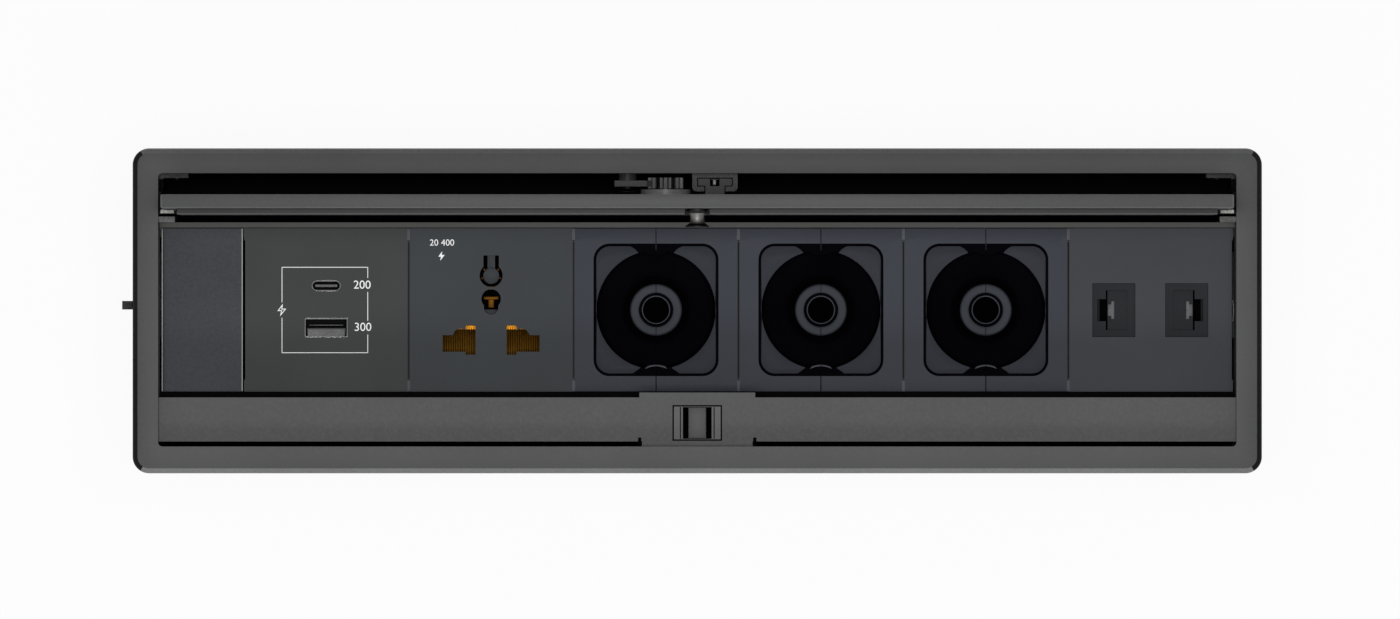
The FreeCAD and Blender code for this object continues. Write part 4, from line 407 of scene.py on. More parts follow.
# %% Lights
def soft_light(name, place, size, power):
    """A soft box that looks at the object from a place given in metres."""
    bpy.ops.object.light_add(type="AREA", location=place)
    light = bpy.context.object
    light.name = name
    light.data.shape = "RECTANGLE"
    light.data.size, light.data.size_y = size
    light.data.energy = power
    light.rotation_euler = (-Vector(place)).to_track_quat("-Z", "Y").to_euler()


soft_light("light_above", (0, -0.03, 2.3), (0.7, 0.5), 28.2)
soft_light("light_front", (0, -1.5, 1.6), (1.4, 0.5), 9)
SKY_STRENGTH = 0.2
world = bpy.data.worlds.new("studio")
world.use_nodes = True
bpy.context.scene.world = world
sky = world.node_tree.nodes["Background"]
sky.inputs["Color"].default_value = linear("e8ebf0")
sky.inputs["Strength"].default_value = SKY_STRENGTH
backdrop = add_node(world.node_tree, "ShaderNodeBackground", {"Color": linear("ffffff"), "Strength": 1.0})
shown = {0: looked_at(world.node_tree), 1: sky.outputs[0], 2: backdrop.outputs[0]}
white_or_sky = add_node(world.node_tree, "ShaderNodeMixShader", shown)
world.node_tree.links.new(white_or_sky.outputs[0], world.node_tree.nodes["World Output"].inputs["Surface"])
bpy.context.scene.view_settings.view_transform = "Standard"
print("lights:", len(bpy.data.lights), "and a white backdrop")

# %% [markdown]
# ## Hand tools
# Every new piece starts as a primitive at its real size and place, in millimetres, and is then bevelled,
# cut and joined. These few helpers keep the steps short. Each one deselects first, because Blender's
# operators act on all that is selected.

# %% Selecting
def select_only(*pieces):
    if bpy.context.mode != "OBJECT":
        bpy.ops.object.mode_set(mode="OBJECT")
    bpy.ops.object.select_all(action="DESELECT")
    for piece in pieces:
        piece.select_set(True)
    bpy.context.view_layer.objects.active = pieces[0]


def pick(piece, kind, wanted):
    """Opens a piece in edit mode with the wanted vertices, edges or faces selected, and counts them."""
    select_only(piece)
    bpy.ops.object.mode_set(mode="EDIT")
    bpy.ops.mesh.select_mode(type=kind)
    bpy.ops.mesh.select_all(action="DESELECT")
    mesh = bmesh.from_edit_mesh(piece.data)
    parts = {"VERT": mesh.verts, "EDGE": mesh.edges, "FACE": mesh.faces}[kind]
    count = 0
    for part in parts:
        ends = [vertex.co / MM for vertex in getattr(part, "verts", [part])]
        chosen = bool(wanted(ends))
        part.select_set(chosen)
        count += chosen
    mesh.select_flush_mode()
    bmesh.update_edit_mesh(piece.data)
    return count


def close_edit():
    bpy.ops.object.mode_set(mode="OBJECT")


def anywhere(ends):
    return True


def middle_of(ends):
    return sum(ends, Vector()) / len(ends)


# %% Primitives
def apply_place(piece):
    select_only(piece)
    bpy.ops.object.transform_apply(location=True, rotation=True, scale=True)
    return piece


def block(name, low, high):
    """A block between two corners."""
    low, high = Vector(low) * MM, Vector(high) * MM
    bpy.ops.mesh.primitive_cube_add(size=1, location=(low + high) / 2)
    piece = bpy.context.object
    piece.name = name
    piece.scale = high - low
    return apply_place(piece)


def rod(name, foot, length, radius, sides=48, axis="Z"):
    """A rod from its foot's middle, upright or along Y."""
    along, turn = {"Y": ((0, 1, 0), (-math.pi / 2, 0, 0)), "Z": ((0, 0, 1), (0, 0, 0))}[axis]
    middle = (Vector(foot) + Vector(along) * length / 2) * MM
    bpy.ops.mesh.primitive_cylinder_add(
        vertices=sides, radius=radius * MM, depth=length * MM, location=middle, rotation=turn
    )
    piece = bpy.context.object
    piece.name = name
    return apply_place(piece)


def outline(name, points):
    """A flat face through these points, from a circle primitive with as many corners."""
    bpy.ops.mesh.primitive_circle_add(vertices=len(points), radius=MM, fill_type="NGON")
    piece = bpy.context.object
    piece.name = name
    apply_place(piece)
    for vertex, point in zip(piece.data.vertices, points):
        vertex.co = Vector(point) * MM
    return piece


# %% Shaping
def bevel(piece, width, segments, wanted, kind="EDGE"):
    """Rounds the edges or corners whose ends all pass a test."""
    count = pick(piece, kind, wanted)
    affect = "VERTICES" if kind == "VERT" else "EDGES"
    bpy.ops.mesh.bevel(offset=width * MM, segments=segments, affect=affect)
    close_edit()
    if count == 0:
        raise ValueError(f"{piece.name}: nothing to bevel")
    return piece


def all_at(level):
    """A test that is true where every end lies at one height."""
    return lambda ends: all(abs(end.z - level) < 0.01 for end in ends)


def upright(ends):
    return abs(ends[0].x - ends[1].x) < 0.01 and abs(ends[0].y - ends[1].y) < 0.01


def soft_block(name, low, high, width, segments=2):
    """A block between two corners with the edges of its top rounded."""
    return bevel(block(name, low, high), width, segments, all_at(high[2]))


def carve(piece, tool, operation="DIFFERENCE", keep_tool=False):
    """Cuts one piece with another, or keeps what they share."""
    select_only(piece)
    modifier = piece.modifiers.new("carve", "BOOLEAN")
    modifier.object = tool
    modifier.operation = operation
    modifier.solver = "EXACT"
    bpy.ops.object.modifier_apply(modifier=modifier.name)
    if not keep_tool:
        bpy.data.objects.remove(tool, do_unlink=True)
    return piece


def fuse(piece, tool):
    """Adds one solid piece to another, without the faces between them."""
    return carve(piece, tool, "UNION")


def join(first, *others):
    """Makes one object of several, whose meshes stay separate."""
    select_only(first, *others)
    bpy.ops.object.join()
    return first


def copy_of(piece, name):
    """A copy with its own mesh."""
    select_only(piece)
    bpy.ops.object.duplicate()
    twin = bpy.context.object
    twin.name = name
    return twin


def shift(piece, x=0, y=0, z=0):
    piece.location = Vector((x, y, z)) * MM
    return apply_place(piece)


def finish(piece, material, body, replaces=(), smooth_degrees=32):
    """Gives a piece its shading, material and body, and hides the solids it replaces."""
    select_only(piece)
    bpy.ops.object.shade_smooth_by_angle(angle=math.radians(smooth_degrees))
    if material is not None:
        piece.data.materials.clear()
        piece.data.materials.append(material)
    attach(piece, body)
    if replaces:
        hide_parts(*replaces)
    print(piece.name, len(piece.data.polygons), "faces")
    return piece


def paint(piece, material, wanted):
    """Gives the faces whose corners pass a test a further material."""
    piece.data.materials.append(material)
    if pick(piece, "FACE", wanted) == 0:
        raise ValueError(f"{piece.name}: nothing to paint")
    piece.active_material_index = len(piece.data.materials) - 1
    bpy.ops.object.material_slot_assign()
    close_edit()


def face_outwards(piece):
    pick(piece, "VERT", anywhere)
    bpy.ops.mesh.remove_doubles(threshold=0.001 * MM)
    bpy.ops.mesh.normals_make_consistent(inside=False)
    close_edit()
    return piece


def draw_out(piece, x=0.0, y=0.0, z=0.0):
    """Draws a flat face out into a body."""
    pick(piece, "FACE", anywhere)
    bpy.ops.mesh.extrude_region_move(TRANSFORM_OT_translate={"value": (x * MM, y * MM, z * MM)})
    close_edit()
    return face_outwards(piece)


def spin_round(piece, sides, centre=(0, 0, 0), axis=(0, 0, 1)):
    """Spins a closed outline once round an axis."""
    pick(piece, "FACE", anywhere)
    bpy.ops.mesh.delete(type="ONLY_FACE")
    bpy.ops.mesh.select_all(action="SELECT")
    bpy.ops.mesh.spin(steps=sides, angle=math.tau, center=centre, axis=axis)
    close_edit()
    return face_outwards(piece)


# %% [markdown]
# ## The bezel
# The frame is one aluminium die casting, 3 mm thick, with round outer corners and a narrow bevel that
# catches the light. A plane is cut by four bisections, its middle is taken out, and the ring is extruded
# downwards. The solid has the same shape with flats in its corners, and this one has round ones.

# %% Bezel
OUTER_RADIUS, INNER_RADIUS = 5.0, 1.3


def make_bezel():
    low, high = [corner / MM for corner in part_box("bezel")]
    half_x, half_y, top = high.x, high.y, high.z
    inner_x, rear_y, front_y = 162.9, 41.6, 41.0
    bpy.ops.mesh.primitive_plane_add(size=1, location=(0, 0, top * MM))
    ring = bpy.context.object
    ring.name = "bezel_frame"
    ring.scale = (half_x * 2 * MM, half_y * 2 * MM, 1)
    apply_place(ring)
    for axis, level in ((0, inner_x), (0, -inner_x), (1, rear_y), (1, -front_y)):
        pick(ring, "FACE", anywhere)
        point, normal = [0, 0, 0], [0, 0, 0]
        point[axis], normal[axis] = level * MM, 1
        bpy.ops.mesh.bisect(plane_co=point, plane_no=normal)
        close_edit()
    inside = lambda ends: all(abs(end.x) < inner_x + 0.1 and abs(end.y) < rear_y + 0.1 for end in ends)
    pick(ring, "FACE", inside)
    bpy.ops.mesh.delete(type="FACE")
    close_edit()
    outer_corner = lambda ends: abs(ends[0].x) > half_x - 0.1 and abs(ends[0].y) > half_y - 0.1
    inner_corner = lambda ends: abs(ends[0].x) < inner_x + 0.1 and abs(ends[0].y) < rear_y + 0.1
    bevel(ring, OUTER_RADIUS, 14, outer_corner, "VERT")
    bevel(ring, INNER_RADIUS, 6, inner_corner, "VERT")
    draw_out(ring, z=low.z - top)

    def beyond(point):
        """How far a point lies past the middles of the outer corners, on X and on Y."""
        return abs(point.x) - (half_x - OUTER_RADIUS), abs(point.y) - (half_y - OUTER_RADIUS)

    def outer_top(ends):
        """True where both ends lie at the top of the outer outline."""
        for end in ends:
            beyond_x, beyond_y = beyond(end)
            round_part = beyond_x > 0 and beyond_y > 0
            reach = math.hypot(beyond_x, beyond_y) if round_part else max(beyond_x, beyond_y)
            if abs(reach - OUTER_RADIUS) > 0.05 or abs(end.z - top) > 0.01:
                return False
        return True

    bevel(ring, 1.5, 2, outer_top)
    finish(ring, BEZEL_COAT, "root", ["bezel"], 25)

    def on_bevel(ends):
        middle = middle_of(ends)
        beyond_x, beyond_y = beyond(middle)
        reach = math.hypot(max(beyond_x, 0), max(beyond_y, 0))
        return reach > 3.52 and low.z + 0.8 < middle.z < top - 0.05, beyond_x, beyond_y, middle

    def end_bevel(ends):
        """True for a bevel face that looks more to the left or right than to the front or rear."""
        is_bevel, beyond_x, beyond_y, middle = on_bevel(ends)
        return is_bevel and beyond_x > max(beyond_y, 0) * 0.6 and beyond_x > 0

    def long_bevel(ends, sign):
        is_bevel, beyond_x, beyond_y, middle = on_bevel(ends)
        return is_bevel and middle.y * sign > 0 and beyond_y > max(beyond_x, 0) * 1.6

    # The end bevels are painted in shade, and the front and rear bevels in highlight, with copies of the
    # coat.
    paint(ring, END_SHADE_COAT, end_bevel)
    paint(ring, FRONT_HIGHLIGHT_COAT, lambda ends: long_bevel(ends, -1))
    paint(ring, REAR_HIGHLIGHT_COAT, lambda ends: long_bevel(ends, 1))


make_bezel()

# %% [markdown]
# ## The lid on edge
# The lid is aluminium plate with its edges broken by a small bevel. Along the top of the standing lid and at
# its ends that bevel carries a painted highlight in a lighter coat. The plate stops a little short of its
# solid, so that the lens shows both its ends clear of the bezel.

# %% Lid
END_ROOM_MM, EDGE_BEVEL_MM = 0.9, 0.45


def make_lid():
    low, high = [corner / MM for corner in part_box("lid_panel")]
    low.x += END_ROOM_MM
    high.x -= END_ROOM_MM
    panel = block("lid_plate", low, high)
    bevel(panel, EDGE_BEVEL_MM, 2, anywhere)
    finish(panel, LID_COAT, "lid", ["lid_panel"])

    def highlight_mask(ends):
        middle = middle_of(ends)
        outermost = abs(middle.y - low.y) < EDGE_BEVEL_MM - 0.01 or abs(middle.x) > high.x - EDGE_BEVEL_MM + 0.01
        return outermost and high.z - EDGE_BEVEL_MM - 0.01 < middle.z < high.z - 0.02

    # The top bevel along the lid's front and at its ends gets a painted highlight.
    paint(panel, EDGE_HIGHLIGHT_COAT, highlight_mask)


make_lid()

# %% [markdown]
# ## Cable ports
# Each port is a pair of moulded halves that close round the cables. The face has a square recess with round
# corners, and inside it a round well with a ring in the middle for one cable, and a finger scoop at each
# end. One whole port is built by cutting and joining, then each copy is sawn into its two halves.

# %% Whole port
PORT_Y = 0.3
FACE_TOP, FACE_FOOT = -27.0, -29.5
PLATEAU_TOP, SCOOP_TOP = FACE_TOP - 0.4, -28.8
MODULE_FRONT, MODULE_REAR = -24.5, 25.0
SKIRT_FOOT, SKIRT_TOP = -31.0, -29.3
HUB_RADIUS, HUB_FOOT = 7.9, -28.9
WELL_RADIUS, WELL_FLOOR = 18.05, -40.0
SIDES = 112
# Edges of the notches between the raised corners, from the recess inwards, for the side towards plus X.
NOTCH_REAR = [
    (8.6, 20.0), (8.2, 19.35), (7.6, 19.15), (6.9, 18.8), (6.3, 18.35), (5.8, 17.9), (5.3, 17.2), (5.2, 16.0),
]
NOTCH_FRONT = [(7.7, 20.0), (7.1, 19.3), (6.3, 18.75), (5.4, 18.1), (4.8, 17.7), (4.5, 16.0)]


def turned(name, profile, sides=SIDES):
    """A closed outline of radius and height, spun once round the upright axis through the port's middle."""
    return spin_round(outline(name, [(radius, 0, height) for radius, height in profile]), sides)


def round_cornered(name, half_x, half_y, foot, top, corner):
    """A block about the port's middle whose upright edges are rounded."""
    piece = block(name, (-half_x, PORT_Y - half_y, foot), (half_x, PORT_Y + half_y, top))
    return bevel(piece, corner, 12, upright)


def make_port():
    half = 24.9
    plate = soft_block("port_face", (-half, MODULE_FRONT, FACE_FOOT), (half, MODULE_REAR, FACE_TOP), 0.25)
    for side in (-1, 1):
        low_x, high_x = sorted((side * (half - 0.35), side * (half + 1)))
        carve(plate, block("relief", (low_x, -20.9, SKIRT_FOOT), (high_x, 21.4, FACE_TOP + 1)))
        low_y, high_y = (MODULE_FRONT, -23.0) if side < 0 else (23.5, MODULE_REAR)
        skirt = block("skirt", (-half + 1.5, low_y, SKIRT_FOOT), (half - 1.5, high_y, SKIRT_TOP))
        fuse(plate, skirt)
    carve(plate, round_cornered("recess", 18.95, 20.1, FACE_TOP - 0.9, FACE_TOP + 1, 4.9))
    well = rod("well_hole", (0, PORT_Y, -33), 8, WELL_RADIUS, SIDES)
    carve(plate, well, keep_tool=True)
    plateau = round_cornered("plateau", 18.15, 19.3, FACE_TOP - 1.2, PLATEAU_TOP, 4.2)
    carve(plateau, well)
    for side, edge in ((1, NOTCH_REAR), (-1, NOTCH_FRONT)):
        corners = edge + [(-x, y) for x, y in reversed(edge)]
        flat = outline("notch", [(x, PORT_Y + side * y, FACE_TOP - 3) for x, y in corners])
        carve(plateau, draw_out(flat, z=5))
    bevel(plateau, 0.12, 2, all_at(PLATEAU_TOP))
    fuse(plate, plateau)
    profile = [
        (4.0, -46.4), (7.5, -46.4), (7.55, -41.4), (19.45, -41.4), (19.45, -28.6), (18.3, -28.6),
        (18.05, -29.0), (18.0, -38.6), (17.3, -39.7), (16.4, WELL_FLOOR), (11.6, WELL_FLOOR), (10.4, -39.6),
        (9.4, -38.4), (8.7, -36.2), (8.3, -33.0), (8.05, -29.6), (7.85, -28.6), (7.45, -28.1), (7.0, -28.0),
        (5.7, -28.0), (5.3, -28.15), (5.15, -28.5), (5.0, -29.6), (4.4, -29.8), (4.3, -29.6), (4.0, -29.7),
    ]
    cup = turned("well_cup", profile)
    shift(cup, y=PORT_Y)
    fuse(plate, cup)
    for side in (-1, 1):
        scoop = rod("scoop", (0, PORT_Y + side * 24.2, -36.0), 7.2, 7.6, 64)
        bevel(scoop, 0.5, 3, all_at(SCOOP_TOP))
        bounds = rod("scoop_bounds", (0, PORT_Y, -37), 9, WELL_RADIUS + 0.6, SIDES)
        carve(scoop, bounds, "INTERSECT")
        fuse(plate, scoop)
    return plate


def paint_port(port):
    """Gives the inside of the recess black, partly as painted shade, its corners and ring their own greys,
    and the front scoop's edge a painted highlight.
    """
    port.data.materials.clear()
    port.data.materials.append(PORT_ABS)

    def on_hub(ends):
        middle = middle_of(ends)
        return math.hypot(middle.x, middle.y - PORT_Y) < HUB_RADIUS and middle.z > HUB_FOOT

    def in_the_dark(ends):
        middle = middle_of(ends)
        inside = abs(middle.x) < 19.0 and abs(middle.y - PORT_Y) < 20.15
        inner_rim = math.hypot(middle.x, middle.y - PORT_Y) < 4.32 and middle.z > -30.3
        heights = [end.z for end in ends]
        groove_wall = min(heights) < FACE_TOP - 0.85 and max(heights) > FACE_TOP - 0.01
        deep = middle.z < FACE_TOP - 0.66 or groove_wall
        return inside and deep and middle.z > -41 and not on_hub(ends) and not inner_rim

    def on_plateau(ends):
        middle = middle_of(ends)
        inside = abs(middle.x) < 18.3 and abs(middle.y - PORT_Y) < 19.45
        return inside and abs(middle.z - PLATEAU_TOP) < 0.02

    def scoop_highlight(ends):
        middle = middle_of(ends)
        near = abs(middle.x) < 3.2 and middle.y < PORT_Y - 16.0
        return near and SCOOP_TOP - 0.5 < middle.z < SCOOP_TOP - 0.01

    # The inside of the well is near black, partly black plastic and partly painted shade.
    paint(port, BLACK_ABS_AND_SHADE, in_the_dark)
    paint(port, HUB_ABS, on_hub)
    paint(port, PLATEAU_ABS, on_plateau)
    # The rounded edge of the front scoop gets a painted highlight.
    paint(port, LUG_AND_HIGHLIGHT_ABS, scoop_highlight)


# %% Six halves
PORT_MIDDLES = (-12.5, 37.5, 87.5)
SEAM_HALF_MM, SEAM_FOOT = 0.09, -29.13
SAW_REACH, SAW_FOOT, SAW_TOP = 30, -50, -20


def mark_seam(port):
    """Cuts a fine groove along the middle plane, where the two halves meet, as far as the cable's hole."""
    seam = block("seam", (-0.15, -26, FACE_TOP - 1.3), (0.15, 26, FACE_TOP + 1))
    hole = rod("hole", (0, PORT_Y, FACE_TOP - 4), 6, 3.9, 48)
    return carve(port, carve(seam, hole))


whole_port = mark_seam(make_port())
paint_port(whole_port)
for number, centre in enumerate(PORT_MIDDLES, start=1):
    for side, sign in (("left", -1), ("right", 1)):
        half_port = copy_of(whole_port, f"port_{number}_{side}_half")
        low_x, high_x = sorted((0, -sign * SAW_REACH))
        carve(half_port, block("saw", (low_x, -SAW_REACH, SAW_FOOT), (high_x, SAW_REACH, SAW_TOP)))
        low_x, high_x = sorted((-sign, sign * SEAM_HALF_MM))
        carve(half_port, block("seam", (low_x, -SAW_REACH, SEAM_FOOT), (high_x, SAW_REACH, SAW_TOP)))
        # The floor of the seam step is painted black, as painted shade.
        paint(half_port, BLACK_ABS_AND_SHADE, all_at(SEAM_FOOT))
        shift(half_port, x=centre)
        finish(half_port, None, "root", [f"cable_port_{number}_{side}"], 30)
bpy.data.objects.remove(whole_port, do_unlink=True)

# %% [markdown]
# ## White marks
# The charger carries a thin square with a small lightning bolt in its left side and a number beside each
# port. The socket has a filled bolt under a number. The numbers are plain ones. A pad prints them, so they
# stand a few hundredths of a millimetre proud of the face.

# %% White marks
INK_FOOT, INK_TOP = FACE_TOP - 0.01, FACE_TOP + 0.03
BOLT = [(0.62, 1.0), (0.0, 0.42), (0.42, 0.42), (0.30, 0.0), (1.0, 0.60), (0.55, 0.60)]


def printed_bolt(low, high, line=0.0):
    """A lightning bolt between two corners, filled or drawn with a line of this width."""
    points = [(low[0] + u * (high[0] - low[0]), low[1] + v * (high[1] - low[1]), INK_TOP) for u, v in BOLT]
    bolt = outline("bolt", points)
    if line:
        pick(bolt, "FACE", anywhere)
        bpy.ops.mesh.inset(thickness=line * MM)
        bpy.ops.mesh.delete(type="FACE")
        close_edit()
    return draw_out(bolt, z=INK_FOOT - INK_TOP)


def printed_line(low, high):
    return block("line", (low[0], low[1], INK_FOOT), (high[0], high[1], INK_TOP))


def printed_number(text, middle, height):
    """A number in the plain built-in typeface, turned into a mesh."""
    bpy.ops.object.text_add(location=(middle[0] * MM, middle[1] * MM, (INK_FOOT + INK_TOP) / 2 * MM))
    number = bpy.context.object
    number.data.body = text
    number.data.size = height / 0.7 * MM
    number.data.align_x = "CENTER"
    number.data.align_y = "CENTER"
    number.data.extrude = (INK_TOP - INK_FOOT) / 2 * MM
    select_only(number)
    bpy.ops.object.convert(target="MESH")
    return apply_place(bpy.context.object)


def print_marks():
    left, right, front, rear, line = -126.0, -99.8, -12.8, 13.3, 0.2
    marks = [
        printed_line((left, rear - line), (right, rear)),
        printed_line((left, front), (right, front + line)),
        printed_line((left, front), (left + line, -2.1)),
        printed_line((left, 2.6), (left + line, rear)),
        printed_line((right - line, front), (right, -7.2)),
        printed_line((right - line, -3.0), (right, 5.7)),
        printed_line((right - line, 10.0), (right, rear)),
        printed_bolt((-127.3, -1.7), (-124.6, 2.2), 0.24),
        printed_number("200", (-101.6, 7.8), 2.5),
        printed_number("300", (-101.4, -5.0), 2.5),
    ]
    square = join(*marks)
    square.name = "charger_marks"
    finish(square, INK, "root")
    number = printed_number("20 400", (-77.4, 20.6), 1.9)
    socket_marks = join(number, printed_bolt((-78.5, 15.2), (-76.6, 18.1)))
    socket_marks.name = "socket_marks"
    finish(socket_marks, INK, "root")


print_marks()

# %% [markdown]
# ## Between the modules
# Neighbouring faces touch only at their ends, where a small key ties them together. The rest of each joint
# is a slot with a grey gasket whose groove darkens with depth, as painted shade. The blank at the left end
# has a thin bright line down both its sides, as a painted highlight, and a spring clip at the right end takes
# up the play of the row.

# %% Joint keys, blank and end clip
JOINTS = (-87.5, -37.5, 12.5, 62.5, 112.5)


def make_key(x, low_y, high_y, name):
    head = soft_block(name, (x - 0.48, low_y, FACE_TOP - 0.02), (x + 0.48, high_y, FACE_TOP + 0.1), 0.08)
    stem = block("stem", (x - 0.08, low_y + 0.2, FACE_TOP - 2.0), (x + 0.08, high_y - 0.2, FACE_TOP + 0.05))
    fuse(head, stem)
    finish(head, LUG_AND_HIGHLIGHT_ABS, "root")


for index, joint_x in enumerate(JOINTS, start=1):
    make_key(joint_x, 21.5, 24.9, f"joint_key_{index}_rear")
    make_key(joint_x, -24.4, -21.0, f"joint_key_{index}_front")


def make_gasket(x, name, material):
    """A soft channel between two modules, whose lips lie against the edges of the plates."""
    channel = block(name, (x - 0.44, -20.8, FACE_TOP - 2.4), (x + 0.44, 21.3, FACE_TOP - 0.03))
    carve(channel, block("groove", (x - 0.27, -20.5, FACE_TOP - 0.9), (x + 0.27, 21.0, FACE_TOP + 1)))
    bevel(channel, 0.06, 1, all_at(FACE_TOP - 0.03))
    finish(channel, material, "root")


for index, joint_x in enumerate(JOINTS, start=1):
    make_gasket(joint_x, f"joint_gasket_{index}", SHALLOW_RUBBER if index < 3 else GASKET_RUBBER)


def make_blank():
    low, high = (-162.4, MODULE_FRONT, FACE_FOOT), (-137.8, MODULE_REAR, FACE_TOP - 0.02)
    plate = soft_block("blank_cover", low, high, 0.12)
    rib = block("rib", (-138.12, -24.3, FACE_TOP - 1), (-137.84, 24.8, FACE_TOP))
    fuse(plate, rib)
    carve(plate, block("slot", (-162.05, -24.2, FACE_TOP - 1.6), (-161.65, 24.7, FACE_TOP + 1)))
    for low_y, high_y in ((MODULE_FRONT, -22.7), (23.2, MODULE_REAR)):
        skirt = block("skirt", (-160.9, low_y, SKIRT_FOOT), (-139.1, high_y, SKIRT_TOP))
        fuse(plate, skirt)
    finish(plate, BLANK_ABS, "root", ["blank_plate"])

    def side_bevel(ends):
        middle = middle_of(ends)
        left_rib = middle.x < -162.04 and middle.z > FACE_TOP - 0.23
        return left_rib or middle.z > FACE_TOP - 0.015

    # The rib's top and the thin strip beside the left slot get a painted highlight.
    paint(plate, HIGHLIGHT_LINE_COAT, side_bevel)


make_blank()


def make_clip():
    """A bowed strip between the last module and the end wall."""
    reach, bow = 3.2, 0.28
    strip = block("end_clip", (162.45, -reach, -33.0), (162.75, reach, FACE_TOP + 0.3))
    pick(strip, "EDGE", lambda ends: abs(ends[0].y - ends[1].y) > 1)
    bpy.ops.mesh.subdivide(number_cuts=11)
    close_edit()
    for vertex in strip.data.vertices:
        along = vertex.co.y / MM / reach
        vertex.co.x -= bow * along * along * MM
    bevel(strip, 0.06, 2, all_at(FACE_TOP + 0.3))
    finish(strip, KEY_ABS, "root")


make_clip()


def make_notch_shade(name, x):
    """A black block in the notch at one end of the rail's tab, as painted shade in the notch."""
    stop = soft_block(name, (x - 0.5, -41.3, -6.0), (x + 0.5, -38.3, -3.94), 0.05, 1)
    finish(stop, BLACK_ABS_AND_SHADE, "root")


make_notch_shade("notch_shade_left", -17.4)
make_notch_shade("notch_shade_right", 17.4)

# %% [markdown]
# ## Inside the charger's ports
# A USB-A receptacle has a flat tongue against one side of its shell, with four gilded contacts, and springs
# on its broad sides. A USB-C receptacle has a thin tongue down its middle with contacts on both faces.

# %% Tongues
CHARGER_X = -112.5
PAD_COUNT, PAD_PITCH = 12, 0.5


def make_usb_a():
    x, front, rear = CHARGER_X, -7.95, -2.25
    spring_places = [x + offset for offset in (-3.5, -1.0, 1.0, 3.5)]
    low, high = (x - 5.9, front + 0.75, -38.6), (x + 5.9, front + 2.75, -29.2)
    tongue = soft_block("usb_a_tongue", low, high, 0.35, 3)
    for place in spring_places:
        carve(tongue, block("groove", (place - 0.55, front + 2.45, -38), (place + 0.55, front + 2.9, -29.9)))
    finish(tongue, KEY_ABS, "root")
    springs = []
    for place in spring_places:
        low, high = (place - 0.45, front + 2.4, -37.8), (place + 0.45, front + 2.62, -30.2)
        springs.append(soft_block("usb_a_springs", low, high, 0.1))
    finish(join(*springs), DEEP_BRASS, "root")
    lip = soft_block("usb_a_lip", (x - 5.2, rear - 2.2, -36), (x + 5.2, rear - 1.95, -28.1), 0.1)
    finish(lip, LIP_STEEL, "root")


def make_usb_c():
    x, y = CHARGER_X, 7.6
    tongue = soft_block("usb_c_tongue", (x - 3.35, y - 0.35, -38.4), (x + 3.35, y + 0.35, -28.4), 0.14, 3)
    finish(tongue, KEY_ABS, "root")
    pads = []
    for index in range(PAD_COUNT):
        pad_x = x - 2.75 + index * PAD_PITCH
        low, high = (pad_x - 0.12, y - 0.4, -37.5), (pad_x + 0.12, y + 0.4, -29.2)
        pads.append(soft_block("usb_c_contacts", low, high, 0.04, 1))
    finish(join(*pads), DEEP_BRASS, "root")


make_usb_a()
make_usb_c()

# %% [markdown]
# ## Inside the socket
# Each current-carrying slot shows a comb of thin brass fingers, flat and bright at the rear, that slope
# down into the dark towards the front. The earth opening is mostly filled by a grey shutter, with a brass
# bridge in its lower round part.

# %% Combs
SOCKET_X = -62.5
FINGERS, FINGER_SHARE = 15, 0.72
LEDGE_FOOT = -33.3


def make_comb(name, low_x, high_x, replaced):
    finger = [
        (-4.3, -33.4), (-4.5, -33.1), (-5.6, -33.1), (-6.1, -33.6), (-7.6, -34.9), (-9.6, -36.0),
        (-11.6, -36.8), (-13.3, -37.2), (-13.3, -37.7), (-11.5, -37.3), (-9.4, -36.5), (-7.3, -35.4),
        (-5.7, -34.1), (-4.3, -33.9),
    ]
    fingers = []
    pitch = (high_x - low_x) / FINGERS
    for index in range(FINGERS):
        flat = outline("finger", [(low_x + index * pitch, y, z) for y, z in finger])
        fingers.append(draw_out(flat, x=pitch * FINGER_SHARE))
    backbone = block("backbone", (low_x, -4.95, -49.7), (high_x, -4.3, -33.7))
    base = block("base", (low_x, -13.3, -50.5), (high_x, -4.3, -49.7))
    middle = (low_x + high_x) / 2
    terminal = block("terminal", (middle - 2.0, -10.3, -59.5), (middle + 2.0, -9.5, -50.4))
    comb = join(*fingers, backbone, base, terminal)
    comb.name = name
    finish(comb, BRASS, "root", [replaced])
    paint(comb, LEDGE_BRASS, lambda ends: all(end.z > LEDGE_FOOT for end in ends))


make_comb("live_comb", SOCKET_X + 4.5, SOCKET_X + 14.9, "contact_live")
make_comb("neutral_comb", SOCKET_X - 14.9, SOCKET_X - 4.5, "contact_neutral")

